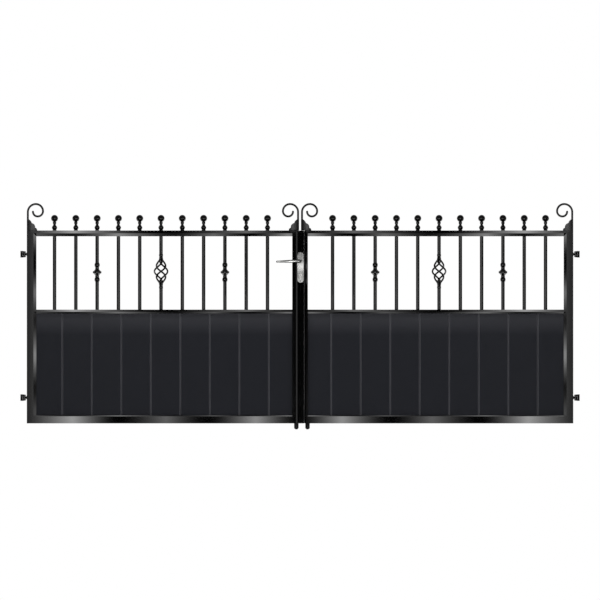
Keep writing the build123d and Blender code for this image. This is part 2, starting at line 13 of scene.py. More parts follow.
import bpy
import numpy as np
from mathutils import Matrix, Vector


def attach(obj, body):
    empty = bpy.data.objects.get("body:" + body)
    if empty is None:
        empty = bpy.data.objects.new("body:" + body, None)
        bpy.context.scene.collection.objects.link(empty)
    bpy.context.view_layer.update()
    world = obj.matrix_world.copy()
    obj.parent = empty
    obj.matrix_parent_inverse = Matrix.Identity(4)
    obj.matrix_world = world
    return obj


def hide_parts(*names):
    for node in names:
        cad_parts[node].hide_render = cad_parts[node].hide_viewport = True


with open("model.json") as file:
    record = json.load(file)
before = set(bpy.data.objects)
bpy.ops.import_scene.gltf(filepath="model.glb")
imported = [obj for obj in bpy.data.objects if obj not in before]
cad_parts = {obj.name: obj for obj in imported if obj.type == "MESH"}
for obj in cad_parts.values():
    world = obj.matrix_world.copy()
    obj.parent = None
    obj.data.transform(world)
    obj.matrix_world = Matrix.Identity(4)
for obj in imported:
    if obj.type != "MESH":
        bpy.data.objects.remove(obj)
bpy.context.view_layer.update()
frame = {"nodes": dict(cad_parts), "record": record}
LOG = logging.getLogger("gate")

Array = np.ndarray
Point = tuple[float, float, float]
Pair = tuple[float, float]
Span = tuple[float, float, int]
Names = tuple[str, ...]
Colour = tuple[float, float, float, float]
Piece = bpy.types.Object
Socket = bpy.types.NodeSocket
Sockets = bpy.types.bpy_prop_collection

UP = np.array((0.0, 0.0, 1.0))
BACK = np.array((0.0, 1.0, 0.0))
WHITE: Colour = (1.0, 1.0, 1.0, 1.0)


class Slot(Enum):
    """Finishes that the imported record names."""

    GLOSS_COAT = "gloss_coat"
    BOARD_COAT = "board_coat"
    SATIN_STEEL = "satin_steel"
    CYLINDER_METAL = "cylinder_metal"
    SEAL_RUBBER = "seal_rubber"
    PIN_STEEL = "pin_steel"
    BOLT_STEEL = "bolt_steel"


class Leaf(Enum):
    """The two leaves, by the body that carries each of them."""

    LEFT = "left"
    RIGHT = "right"

    @property
    def body(self) -> str:
        """Name of the body that the leaf's pieces ride on."""
        return f"{self.value}_leaf"


# Surfaces


@dataclass(frozen=True)
class Surface:
    """A mesh held as arrays: points, faces of four corners and faces of three."""

    points: Array
    quads: Array
    triangles: Array

    def copies(self, offsets: Array) -> "Surface":
        """Repeat the surface: each copy is the points plus one offset.

        Args:
            offsets: Array of shape (copies, 3).

        Returns:
            One surface that holds every copy.
        """
        steps = len(self.points) * np.arange(len(offsets))[:, None, None]
        points = (self.points[None] + np.asarray(offsets)[:, None]).reshape(-1, 3)
        quads = (self.quads[None] + steps).reshape(-1, 4)
        triangles = (self.triangles[None] + steps).reshape(-1, 3)
        return Surface(points, quads, triangles)

    def mirrored(self, middle: float, axis: int = 0) -> "Surface":
        """Mirror image across the plane where one coordinate is middle, its faces turned round.

        Args:
            middle: Where the plane stands.
            axis: The coordinate that changes sign about it.

        Returns:
            The mirrored surface, its faces still pointing outwards.
        """
        points = self.points.copy()
        points[:, axis] = 2 * middle - points[:, axis]
        return Surface(points, self.quads[:, ::-1], self.triangles[:, ::-1])

    def joined(self, *others: "Surface") -> "Surface":
        """Put this surface and others into one.

        Args:
            others: Surfaces to add.

        Returns:
            One surface with all their points and faces.
        """
        parts = (self, *others)
        starts = np.cumsum([0] + [len(part.points) for part in parts[:-1]])
        return Surface(
            np.concatenate([part.points for part in parts]),
            np.concatenate([part.quads + start for part, start in zip(parts, starts)]),
            np.concatenate([part.triangles + start for part, start in zip(parts, starts)]),
        )

    def mesh(self, name: str, crease: float) -> bpy.types.Mesh:
        """Turn the arrays into a Blender mesh, smooth but for edges sharper than the crease.

        Args:
            name: Name of the mesh.
            crease: Angle in degrees above which an edge stays sharp.

        Returns:
            The new mesh.
        """
        made = bpy.data.meshes.new(name)
        made.from_pydata(self.points.tolist(), [], self.quads.tolist() + self.triangles.tolist())
        made.polygons.foreach_set("use_smooth", np.ones(len(made.polygons), dtype=bool))
        made.set_sharp_from_angle(angle=np.radians(crease))
        made.update()
        return made


def unit(vectors: Array) -> Array:
    """Vectors scaled to length one along their last axis."""
    return vectors / np.linalg.norm(vectors, axis=-1, keepdims=True)


def grid(*coordinates: Array | float) -> Array:
    """Points from their coordinates, each spread to the shape that all of them share."""
    return np.stack(np.broadcast_arrays(*coordinates), axis=-1)


def marks(*spans: Span) -> Array:
    """Equal steps over one span or several, each given as start, end and count."""
    return np.concatenate([np.linspace(*span) for span in spans])


def running(steps: Array) -> Array:
    """Running sum of steps, starting at zero."""
    return np.concatenate(([0.0], np.cumsum(steps)))


def cells(shape: tuple[int, int], wrap_rows: bool = False, wrap_columns: bool = True) -> Array:
    """Faces (i, j), (i, j + 1), (i + 1, j + 1), (i + 1, j) between the points of a grid.

    Args:
        shape: Rows and columns of the grid.
        wrap_rows: Whether the last row joins the first.
        wrap_columns: Whether the last column joins the first.

    Returns:
        Point numbers of shape (faces, 4).
    """
    here = np.arange(np.prod(shape)).reshape(shape)
    beside, ahead = np.roll(here, -1, axis=1), np.roll(here, -1, axis=0)
    faces = grid(here, beside, np.roll(ahead, -1, axis=1), ahead)
    rows = slice(None) if wrap_rows else slice(-1)
    columns = slice(None) if wrap_columns else slice(-1)
    return faces[rows, columns].reshape(-1, 4)


def skin(rings: Array, start: Array, end: Array) -> Surface:
    """Close a stack of rings: ring i joins ring i + 1, and a fan to one point shuts each end.

    Rings run counter-clockwise about the direction in which they follow each other.

    Args:
        rings: Points of shape (rings, points in a ring, 3).
        start: Middle of the first ring's fan.
        end: Middle of the last ring's fan.

    Returns:
        The closed surface.
    """
    rows, columns = rings.shape[:2]
    first = np.arange(columns)
    last = first + (rows - 1) * columns
    start_fan = grid(np.roll(first, -1), first, rows * columns)
    end_fan = grid(last, np.roll(last, -1), rows * columns + 1)
    points = np.concatenate((rings.reshape(-1, 3), [start], [end]))
    return Surface(points, cells((rows, columns)), np.concatenate((start_fan, end_fan)))


def hoop(rings: Array) -> Surface:
    """Join rings into a closed hoop: ring i joins ring i + 1 and the last joins the first."""
    quads = cells(rings.shape[:2], wrap_rows=True)
    return Surface(rings.reshape(-1, 3), quads, np.empty((0, 3), dtype=int))


def circle(count: int) -> Array:
    """Points (cos a, sin a) at equal angles a round one turn."""
    turn = 2 * np.pi * np.arange(count) / count
    return grid(np.cos(turn), np.sin(turn))


def lathe(profile: Array, count: int) -> Surface:
    """Turn a profile about Z: point (i, j) is (r_i cos a_j, r_i sin a_j, h_i).

    Args:
        profile: Rows of radius and height, going up the outside.
        count: Points round one turn.

    Returns:
        The turned surface about the Z axis, shut at both ends.
    """
    x, y = circle(count).T
    radius, height = profile[:, :1], profile[:, 1:]
    rings = grid(radius * x, radius * y, height)
    return skin(rings, height[0] * UP, height[-1] * UP)


def flow(controls: Array, steps: int) -> Array:
    """Smooth line through control points: the Catmull-Rom cubic on each span.

    Args:
        controls: Points of shape (controls, dimensions).
        steps: Points on each span.

    Returns:
        Points on the line, first and last control included.
    """
    padded = np.concatenate((controls[:1], controls, controls[-1:]))
    before, here, there, beyond = (padded[k : k + len(controls) - 1, None] for k in range(4))
    t = (np.arange(steps) / steps)[None, :, None]
    line = here + 0.5 * t * (
        there - before + t * (2 * before - 5 * here + 4 * there - beyond)
        + t * t * (3 * here - before - 3 * there + beyond)
    )
    return np.concatenate((line.reshape(-1, controls.shape[1]), controls[-1:]))


def tube(
    path: Array, across: Array, width: Array, depth: Array, count: int, power: float = 2.0
) -> Surface:
    """Carry an oval along a path: p_i + w_i c_j A_i + d_i s_j (T_i x A_i).

    A is square to the tangent T, and (c, s) run round a superellipse |c|^n + |s|^n = 1.

    Args:
        path: Points of shape (stations, 3).
        across: Direction of the oval's width at each station.
        width: Half width at each station.
        depth: Half depth at each station.
        count: Points round the oval.
        power: The superellipse's power n, 2 for an ellipse.

    Returns:
        The closed tube.
    """
    tangent = unit(np.gradient(path, axis=0))
    side = unit(across - np.sum(across * tangent, axis=-1, keepdims=True) * tangent)
    other = np.cross(tangent, side)
    oval = circle(count)
    oval = np.sign(oval) * np.abs(oval) ** (2 / power)
    rings = (
        path[:, None]
        + width[:, None, None] * oval[None, :, :1] * side[:, None]
        + depth[:, None, None] * oval[None, :, 1:] * other[:, None]
    )
    return skin(rings, path[0], path[-1])


ROUND_STEPS = 5
FACE_INSET = 1.4
LEAST_CORNER_COSINE = 0.5


def slab(outline: Array, middle: Array, y_span: Pair, rounding: float) -> Surface:
    """Plate between two y values whose outline draws in by r (1 - cos a) as its edge rounds over.

    Args:
        outline: Points (x, z), counter-clockwise as seen from the front.
        middle: Point (x, z) from which the whole outline can be seen.
        y_span: Front and back y of the plate.
        rounding: Radius r of the rounded edges.

    Returns:
        The closed plate.
    """
    along = unit(np.roll(outline, -1, axis=0) - outline)
    normal = grid(along[:, 1], -along[:, 0])
    corner = unit(normal + np.roll(normal, 1, axis=0))
    cosine = np.sum(corner * normal, axis=-1, keepdims=True)
    corner = corner / np.maximum(cosine, LEAST_CORNER_COSINE)
    front, back = y_span
    angle = np.linspace(np.pi / 2, 0, ROUND_STEPS)
    draw_in = np.concatenate(([FACE_INSET], 1 - np.cos(angle))) * rounding
    stand = np.concatenate(([1.0], np.sin(angle))) * rounding - rounding
    insets = np.concatenate((draw_in, draw_in[::-1]))
    levels = np.concatenate((back + stand, front - stand[::-1]))
    flat = outline[None] - insets[:, None, None] * corner[None]
    rings = grid(flat[..., 0], levels[:, None], flat[..., 1])
    ends = (np.array((middle[0], level, middle[1])) for level in (back, front))
    return skin(rings, *ends)


def block(x_span: Pair, z_span: Pair) -> tuple[Array, Array]:
    """Corners (x, z) of a rectangle, counter-clockwise from the front, and their middle."""
    corners = grid(np.take(x_span, (0, 1, 1, 0)), np.take(z_span, (0, 0, 1, 1)))
    return corners, corners.mean(axis=0)


# Shader nodes

NOISE_SPAN = (0.3, 0.7)
FIRST_COLOUR, SECOND_COLOUR, MIXED_COLOUR = 6, 7, 2


def spaced(numbers: dict[str, float]) -> dict[str, float]:
    """Values by socket name, with the underscores of keyword names turned into spaces."""
    return {label.replace("_", " "): value for label, value in numbers.items()}


class NodeTree:
    """Short-hand for filling one node tree."""

    def __init__(self, tree: bpy.types.NodeTree) -> None:
        """Take over a tree and empty it."""
        self.tree = tree
        self.tree.nodes.clear()

    def add(self, kind: str, inputs: dict | None = None, **settings: object) -> bpy.types.Node:
        """Add a node, set it up and wire it.

        Args:
            kind: Node type, without the leading ShaderNode for shader nodes.
            inputs: Values for input sockets by name or number; a socket as a value is linked.
            settings: Properties of the node.

        Returns:
            The new node.
        """
        known = kind if kind.startswith("NodeGroup") else f"ShaderNode{kind}"
        node = self.tree.nodes.new(known)
        for name, value in settings.items():
            setattr(node, name, value)
        for key, value in (inputs or {}).items():
            if isinstance(value, Socket):
                self.tree.links.new(value, node.inputs[key])
            else:
                node.inputs[key].default_value = value
        return node

    def math(self, operation: str, *values: object) -> Socket:
        """Result of one Math node on sockets or numbers."""
        return self.add("Math", dict(enumerate(values)), operation=operation).outputs[0]

    def spread(self, value: Socket, low: float, high: float, *ends: object) -> Socket:
        """Map a value from low..high to the two ends, held at both.

        Args:
            value: Socket to map.
            low: Value that becomes the first end.
            high: Value that becomes the second end.
            ends: The two ends, 0 and 1 if left out.

        Returns:
            The mapped socket.
        """
        first, second = ends or (0.0, 1.0)
        limits = {"From Min": low, "From Max": high, "To Min": first, "To Max": second}
        return self.add("MapRange", {"Value": value} | limits).outputs["Result"]

    def blend(self, share: Socket, first: object, second: object) -> Socket:
        """Colour that goes from the first to the second with the share."""
        inputs = {"Factor": share, FIRST_COLOUR: first, SECOND_COLOUR: second}
        return self.add("Mix", inputs, data_type="RGBA").outputs[MIXED_COLOUR]

    def noise(self, vector: Socket, scale: object, detail: float, roughness: float) -> Socket:
        """Value of one noise texture."""
        inputs = {"Vector": vector, "Scale": scale, "Detail": detail, "Roughness": roughness}
        return self.add("TexNoise", inputs).outputs["Fac"]

    def bump(self, height: Socket, strength: float, distance: float) -> Socket:
        """Normal turned by the slope of a height."""
        inputs = {"Height": height, "Strength": strength, "Distance": distance}
        return self.add("Bump", inputs).outputs["Normal"]

    def part(self, vector: Socket, axis: str) -> Socket:
        """One coordinate of a vector."""
        return self.add("SeparateXYZ", {0: vector}).outputs[axis]

    def place(self) -> Socket:
        """Coordinates in the object's own frame."""
        return self.add("TexCoord").outputs["Object"]


class Effect(ABC):
    """A shader effect that several finishes share, kept as one node group."""

    name: str
    numbers: dict[str, float]
    results: Names

    def group(self) -> bpy.types.NodeTree:
        """Build the effect's node group the first time it is asked for.

        Returns:
            The node group.
        """
        found = bpy.data.node_groups.get(self.name)
        if found:
            return found
        tree = bpy.data.node_groups.new(self.name, "ShaderNodeTree")
        face = tree.interface
        face.new_socket("Vector", in_out="INPUT", socket_type="NodeSocketVector")
        for label, value in self.numbers.items():
            socket = face.new_socket(label, in_out="INPUT", socket_type="NodeSocketFloat")
            socket.default_value = value
        for label in self.results:
            face.new_socket(label, in_out="OUTPUT", socket_type="NodeSocketFloat")
        nodes = NodeTree(tree)
        source = nodes.add("NodeGroupInput").outputs
        nodes.add("NodeGroupOutput", self.wire(nodes, source))
        return tree

    @abstractmethod
    def wire(self, nodes: NodeTree, source: Sockets) -> dict[str, Socket]:
        """Wire the group's inputs to its results and return those by name."""


class PowderSkin(Effect):
    """Sprayed powder coat: fine orange peel, and cloudy shifts in gloss and tone."""

    name = "Powder skin"
    numbers = {"Peel Scale": 420.0, "Cloud Scale": 5.0, "Gloss Low": 0.1, "Gloss High": 0.2}
    results = ("Height", "Roughness", "Cloud")

    def wire(self, nodes: NodeTree, source: Sockets) -> dict[str, Socket]:
        """Wire fine noise into height and broad noise into roughness and cloud.

        Args:
            nodes: The group's tree.
            source: Outputs of the group's input node.

        Returns:
            Sockets for height, roughness and cloud.
        """
        place = source["Vector"]
        peel = nodes.noise(place, source["Peel Scale"], detail=1.5, roughness=0.45)
        cloud = nodes.noise(place, source["Cloud Scale"], detail=4.0, roughness=0.6)
        soft = nodes.spread(cloud, *NOISE_SPAN)
        gloss = nodes.spread(soft, 0.0, 1.0, source["Gloss Low"], source["Gloss High"])
        return {"Height": peel, "Roughness": gloss, "Cloud": soft}


class DustAndPaintedLight(Effect):
    """Dust on ledges and splashes low down, a painted light band that lightens the coat high up,
    and a painted highlight on faces slanted sideways, as on the chamfers of the boards' grooves.
    """

    name = "Road dust and painted light"
    numbers = {"Ground": -0.17, "Reach": 0.35, "Ledge": 0.5, "Shelter": 0.0, "Groove": 0.0}
    results = ("Film",)
    ledge_facing = (0.55, 1.0)
    speckle_scale = 160.0
    speckle_span = (0.42, 0.72)
    # Painted light band: the lighter colour grows from the lower height to the upper one, so the
    # boards come out lighter towards their top.
    painted_band_heights = (0.345, 0.432)
    groove_facing = (0.5, 0.68)

    def wire(self, nodes: NodeTree, source: Sockets) -> dict[str, Socket]:
        """Wire height above ground and upward facing through noise, then add a painted light band
        high up and a painted highlight on sideways-slanted faces.

        Args:
            nodes: The group's tree.
            source: Outputs of the group's input node.

        Returns:
            Socket for the share of dust and painted light.
        """
        height = nodes.part(source["Vector"], "Z")
        rise = nodes.math("SUBTRACT", height, source["Ground"])
        low = nodes.math("SUBTRACT", 1.0, nodes.math("DIVIDE", rise, source["Reach"]))
        low = nodes.math("POWER", nodes.spread(low, 0.0, 1.0), 2.0)
        facing = nodes.part(nodes.add("NewGeometry").outputs["Normal"], "Z")
        ledge = nodes.math("MULTIPLY", nodes.spread(facing, *self.ledge_facing), source["Ledge"])
        speckle = nodes.noise(source["Vector"], self.speckle_scale, detail=5.0, roughness=0.7)
        patch = nodes.spread(speckle, *self.speckle_span)
        loose = nodes.math("MULTIPLY", nodes.math("ADD", low, ledge), patch)
        # Painted light: a lighter band towards the top, standing in for light on the boards, not
        # dust.
        painted_band = nodes.math("MULTIPLY", nodes.spread(height, *self.painted_band_heights), source["Shelter"])
        # Painted highlight: the lighter colour on faces slanted sideways, that is, the chamfers of
        # the boards' grooves.
        sideways = nodes.part(nodes.add("TexCoord").outputs["Normal"], "X")
        slanted = nodes.spread(nodes.math("ABSOLUTE", sideways), *self.groove_facing)
        painted_groove_highlight = nodes.math("MULTIPLY", slanted, source["Groove"])
        return {"Film": nodes.math("ADD", nodes.math("ADD", loose, painted_band), painted_groove_highlight)}


class BrushedGrain(Effect):
    """Fine lines left by a brushing belt, drawn out along one direction."""

    name = "Brushed grain"
    numbers = {"Line Scale": 900.0, "Gloss Low": 0.25, "Gloss High": 0.42}
    results = ("Height", "Roughness", "Line")

    def wire(self, nodes: NodeTree, source: Sockets) -> dict[str, Socket]:
        """Wire noise on stretched coordinates into height, roughness and line.

        Args:
            nodes: The group's tree.
            source: Outputs of the group's input node.

        Returns:
            Sockets for height, roughness and line.
        """
        fine = nodes.noise(source["Vector"], source["Line Scale"], detail=3.0, roughness=0.65)
        line = nodes.spread(fine, *NOISE_SPAN)
        gloss = nodes.spread(line, 0.0, 1.0, source["Gloss Low"], source["Gloss High"])
        return {"Height": line, "Roughness": gloss, "Line": line}


# Finishes


@dataclass(frozen=True)
class Finish(ABC):
    """A surface finish that builds one material."""

    name: str

    def material(self) -> bpy.types.Material:
        """Build the finish's material the first time it is asked for.

        Returns:
            The material.
        """
        found = bpy.data.materials.get(self.name)
        if found:
            return found
        made = bpy.data.materials.new(self.name)
        made.use_nodes = True
        nodes = NodeTree(made.node_tree)
        nodes.add("OutputMaterial", {"Surface": self.shader(nodes)})
        return made

    @staticmethod
    def effect(nodes: NodeTree, effect: Effect, vector: Socket, **numbers: float) -> Sockets:
        """Place a shared effect in a material, at a vector and with its numbers."""
        inputs = {"Vector": vector} | spaced(numbers)
        return nodes.add("Group", inputs, node_tree=effect.group()).outputs

    @staticmethod
    def principled(
        nodes: NodeTree, colour: Socket, roughness: Socket, normal: Socket, **numbers: float
    ) -> Socket:
        """Place the shader that every finish of the gate ends in, with its constant numbers."""
        inputs = {"Base Color": colour, "Roughness": roughness, "Normal": normal}
        return nodes.add("BsdfPrincipled", inputs | spaced(numbers)).outputs["BSDF"]

    @abstractmethod
    def shader(self, nodes: NodeTree) -> Socket:
        """Build the finish's shader in a material's tree and return its output."""


@dataclass(frozen=True)
class PowderCoat(Finish):
    """Sprayed coat over metal, with a thin layer of road dust low down and on ledges, and where set
    a painted light band high up and a painted highlight on the slanted faces of grooves.
    """

    colour: Colour
    cloud_colour: Colour
    gloss: Pair
    peel_scale: float
    peel_height: float
    specular: float
    dust_and_light: float
    coat: float = 0.0
    coat_roughness: float = 0.03
    # Strengths of the painted light band high up and of the painted highlight on the chamfers of
    # grooves.
    painted_light_band: float = 0.0
    groove_highlight: float = 0.0
    peel_strength: float = 0.3
    dust_and_light_roughness: float = 0.5
    # Lighter colour laid both as road dust and as painted light.
    dust_and_light_colour: Colour = (0.15, 0.15, 0.165, 1.0)

    def shader(self, nodes: NodeTree) -> Socket:
        """Layer cloud, dust with painted light, and peel over the coat's colour.

        Args:
            nodes: The material's tree.

        Returns:
            The shader's output.
        """
        place = nodes.place()
        low, high = self.gloss
        powder = self.effect(
            nodes, PowderSkin(), place, Peel_Scale=self.peel_scale, Gloss_Low=low, Gloss_High=high
        )
        dust_and_light = self.effect(nodes, DustAndPaintedLight(), place, Shelter=self.painted_light_band, Groove=self.groove_highlight)
        # Share of the lighter colour: road dust, plus the painted light band and painted highlights
        # where set.
        dust_and_light_share = nodes.math("MULTIPLY", dust_and_light["Film"], self.dust_and_light)
        tone = nodes.blend(powder["Cloud"], self.colour, self.cloud_colour)
        dulled = nodes.math("MULTIPLY", dust_and_light_share, self.dust_and_light_roughness)
        return self.principled(
            nodes,
            nodes.blend(dust_and_light_share, tone, self.dust_and_light_colour),
            nodes.math("ADD", powder["Roughness"], dulled),
            nodes.bump(powder["Height"], self.peel_strength, self.peel_height),
            Specular_IOR_Level=self.specular,
            Coat_Weight=self.coat,
            Coat_Roughness=self.coat_roughness,
        )


@dataclass(frozen=True)
class BrushedMetal(Finish):
    """Satin metal brushed along one direction."""

    colour: Colour
    dark_colour: Colour
    gloss: Pair
    stretch: Point
    grain_strength: float = 0.25
    grain_height: float = 0.00002

    def shader(self, nodes: NodeTree) -> Socket:
        """Wire the brushed grain into colour, roughness and bump.

        Args:
            nodes: The material's tree.

        Returns:
            The shader's output.
        """
        mapping = nodes.add("Mapping", {"Vector": nodes.place(), "Scale": self.stretch})
        drawn = mapping.outputs["Vector"]
        low, high = self.gloss
        grain = self.effect(nodes, BrushedGrain(), drawn, Gloss_Low=low, Gloss_High=high)
        return self.principled(
            nodes,
            nodes.blend(grain["Line"], self.dark_colour, self.colour),
            grain["Roughness"],
            nodes.bump(grain["Height"], self.grain_strength, self.grain_height),
            Metallic=1.0,
        )


@dataclass(frozen=True)
class SealRubber(Finish):
    """Matt black rubber with a bloom of lighter dust."""

    colour: Colour = (0.08, 0.08, 0.083, 1.0)
    bloom_colour: Colour = (0.12, 0.12, 0.12, 1.0)
    gloss: Pair = (0.6, 0.8)
    pit_scale: float = 900.0
    pit_strength: float = 0.3
    pit_height: float = 0.0002
    specular: float = 0.2

    def shader(self, nodes: NodeTree) -> Socket:
        """Wire cloud and fine pitting over the rubber's colour.

        Args:
            nodes: The material's tree.

        Returns:
            The shader's output.
        """
        place = nodes.place()
        low, high = self.gloss
        powder = self.effect(
            nodes, PowderSkin(), place, Peel_Scale=self.pit_scale, Gloss_Low=low, Gloss_High=high
        )
        return self.principled(
            nodes,
            nodes.blend(powder["Cloud"], self.colour, self.bloom_colour),
            powder["Roughness"],
            nodes.bump(powder["Height"], self.pit_strength, self.pit_height),
            Specular_IOR_Level=self.specular,
        )


@dataclass(frozen=True)
class StudioFloor(Finish):
    """Pale studio floor that keeps shadows and stays light to the camera."""

    colour: Colour = (0.86, 0.86, 0.86, 1.0)
    lift: float = 0.3

    def shader(self, nodes: NodeTree) -> Socket:
        """Add a little white to what the camera sees of the floor.

        Args:
            nodes: The material's tree.

        Returns:
            The shader's output.
        """
        diffuse = nodes.add("BsdfDiffuse", {"Color": self.colour}).outputs["BSDF"]
        seen = nodes.add("LightPath").outputs["Is Camera Ray"]
        strength = nodes.math("MULTIPLY", seen, self.lift)
        white = nodes.add("Emission", {"Color": WHITE, "Strength": strength})
        both = nodes.add("AddShader", {0: diffuse, 1: white.outputs["Emission"]})
        return both.outputs["Shader"]


@dataclass(frozen=True)
class LightCard(Finish):
    """Card whose light follows the glow attribute of its mesh."""

    strength: float = 1.0

    def shader(self, nodes: NodeTree) -> Socket:
        """Wire the glow attribute into an emission.

        Args:
            nodes: The material's tree.

        Returns:
            The shader's output.
        """
        glow = nodes.add("Attribute", attribute_name="glow").outputs["Fac"]
        level = nodes.math("MULTIPLY", glow, self.strength)
        light = nodes.add("Emission", {"Color": WHITE, "Strength": level})
        return light.outputs["Emission"]


FINISHES: dict[Slot, Finish] = {
    Slot.GLOSS_COAT: PowderCoat(
        name="Gloss black coat",
        colour=(0.0012, 0.0012, 0.0013, 1.0),
        cloud_colour=(0.002, 0.002, 0.0021, 1.0),
        gloss=(0.04, 0.06),
        peel_scale=420.0,
        peel_height=0.000015,
        specular=1.0,
        coat=1.0,
        dust_and_light=0.012,
    ),
    Slot.BOARD_COAT: PowderCoat(
        name="Satin anthracite coat",
        colour=(0.0132, 0.0145, 0.0207, 1.0),
        cloud_colour=(0.015, 0.0164, 0.0231, 1.0),
        gloss=(0.42, 0.5),
        peel_scale=700.0,
        peel_height=0.00008,
        specular=0.3,
        dust_and_light=0.04,
        # Painted light on the boards: a lighter band towards the top and painted highlights on the
        # chamfers of their grooves.
        painted_light_band=5.0,
        groove_highlight=12.0,
    ),
    Slot.SATIN_STEEL: BrushedMetal(
        name="Satin stainless",
        colour=(0.62, 0.62, 0.61, 1.0),
        dark_colour=(0.5, 0.5, 0.49, 1.0),
        gloss=(0.12, 0.18),
        stretch=(0.06, 1.0, 1.0),
    ),
    Slot.CYLINDER_METAL: BrushedMetal(
        name="Nickel-plated brass",
        colour=(0.68, 0.675, 0.66, 1.0),
        dark_colour=(0.56, 0.555, 0.54, 1.0),
        gloss=(0.2, 0.32),
        stretch=(1.0, 0.1, 1.0),
    ),
    Slot.SEAL_RUBBER: SealRubber(name="Seal rubber"),
    Slot.PIN_STEEL: BrushedMetal(
        name="Black zinc-plated steel",
        colour=(0.07, 0.07, 0.075, 1.0),
        dark_colour=(0.04, 0.04, 0.045, 1.0),
        gloss=(0.25, 0.4),
        stretch=(1.0, 1.0, 0.1),
    ),
    Slot.BOLT_STEEL: PowderCoat(
        name="Black coated steel",
        colour=(0.012, 0.012, 0.013, 1.0),
        cloud_colour=(0.018, 0.018, 0.019, 1.0),
        gloss=(0.28, 0.38),
        peel_scale=500.0,
        peel_height=0.00004,
        specular=0.6,
        dust_and_light=0.12,
    ),
}


# Pieces


@dataclass(frozen=True)
class Gate:
    """Main lines of the gate that several sub-assemblies share."""

    left_edge: float = 0.035
    middle: float = 1.535
    top: float = 0.9175
    mid_rail_top: float = 0.483
    top_rail_bottom: float = 0.8855
    scroll_gap: float = 0.005
    bar_radius: float = 0.01
    bar_count: int = 11
    first_bar: float = 0.18725
    bar_pitch: float = 0.116915
    basket_index: int = 5
    collar_indexes: tuple[int, int] = (2, 8)

    @property
    def bar_places(self) -> Array:
        """X of every bar's axis on the left leaf."""
        return self.first_bar + self.bar_pitch * np.arange(self.bar_count)

    @property
    def leaf_middle(self) -> float:
        """X of the plane about which a leaf's two scrolls mirror each other."""
        return (self.left_edge + self.middle - self.scroll_gap) / 2


GATE = Gate()
CREASE = 38.0


def linked(name: str, data: bpy.types.ID) -> Piece:
    """Make an object and set it in the scene.

    Args:
        name: Name of the object.
        data: Its mesh, lamp or camera.

    Returns:
        The new object.
    """
    made = bpy.data.objects.new(name, data)
    bpy.context.scene.collection.objects.link(made)
    return made


def placed(
    surface: Surface, name: str, body: str, slot: Slot, replaced: Names = ()
) -> Piece:
    """Make a piece of the object from a surface and set it on the frame.

    Args:
        surface: The piece's surface, where the piece stands.
        name: Name of the piece.
        body: Body that it rides on.
        slot: Finish that it takes.
        replaced: Solids that it stands for.

    Returns:
        The new object.
    """
    mesh = surface.mesh(name, CREASE)
    mesh.materials.append(FINISHES[slot].material())
    piece = linked(name, mesh)
    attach(piece, body)
    if replaced:
        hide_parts(*replaced)
    LOG.info("%s: %d faces on %s", name, len(mesh.polygons), body)
    return piece


class SubAssembly(ABC):
    """Something that builds its pieces."""

    @abstractmethod
    def build(self) -> list[Piece]:
        """Build the pieces and return them."""


class LeafWork(SubAssembly):
    """A set of pieces that each leaf has once, the right one mirrored."""

    label: str
    node: str = ""

    @abstractmethod
    def surface(self) -> Surface:
        """The left leaf's surface."""

    def build(self) -> list[Piece]:
        """Place the left leaf's surface and its mirror image.

        Returns:
            One piece on each leaf.
        """
        left = self.surface()
        made = []
        for leaf, surface in ((Leaf.LEFT, left), (Leaf.RIGHT, left.mirrored(GATE.middle))):
            name = f"{leaf.value}_{self.label}"
            stands_for = (f"{leaf.value}_{self.node}",) if self.node else ()
            made.append(placed(surface, name, leaf.body, Slot.GLOSS_COAT, stands_for))
        return made


@dataclass
class BallFinials(LeafWork):
    """Turned finials over the bars: foot, bead, cove, ring and ball."""

    height: float = 0.086
    bead_radius: float = 0.0147
    neck_radius: float = 0.0072
    ring_radius: float = 0.0097
    ball_radius: float = 0.0196
    ball_angles: Span = (-64.0, 89.0, 26)
    stem_steps: int = 4
    sides: int = 36

    label = "turned_finials"
    node = "ball_finials"

    def surface(self) -> Surface:
        """Turn a flowing stem and a ball, radius R cos a at height m + R sin a, over every bar.

        Returns:
            The left leaf's finials.
        """
        bead, neck, ring = self.bead_radius, self.neck_radius, self.ring_radius
        stem = np.array(
            (
                (0.0105, 0.0), (0.0115, 0.0012), (0.0108, 0.0032), (0.0102, 0.0046),
                (0.0126, 0.0085), (bead * 0.97, 0.0128), (bead, 0.0163), (bead * 0.96, 0.0196),
                (0.0115, 0.0242), (0.0082, 0.0286), (neck, 0.0325), (neck * 1.03, 0.0346),
                (ring * 0.93, 0.0366), (ring, 0.0392), (ring, 0.0442), (ring * 0.94, 0.0462),
                (ring * 0.88, 0.0477),
            )
        )
        middle = self.height - self.ball_radius
        angle = np.radians(marks(self.ball_angles))
        ball = grid(self.ball_radius * np.cos(angle), middle + self.ball_radius * np.sin(angle))
        profile = np.concatenate((flow(stem, self.stem_steps), ball))
        return lathe(profile, self.sides).copies(grid(GATE.bar_places, 0.0, GATE.top))


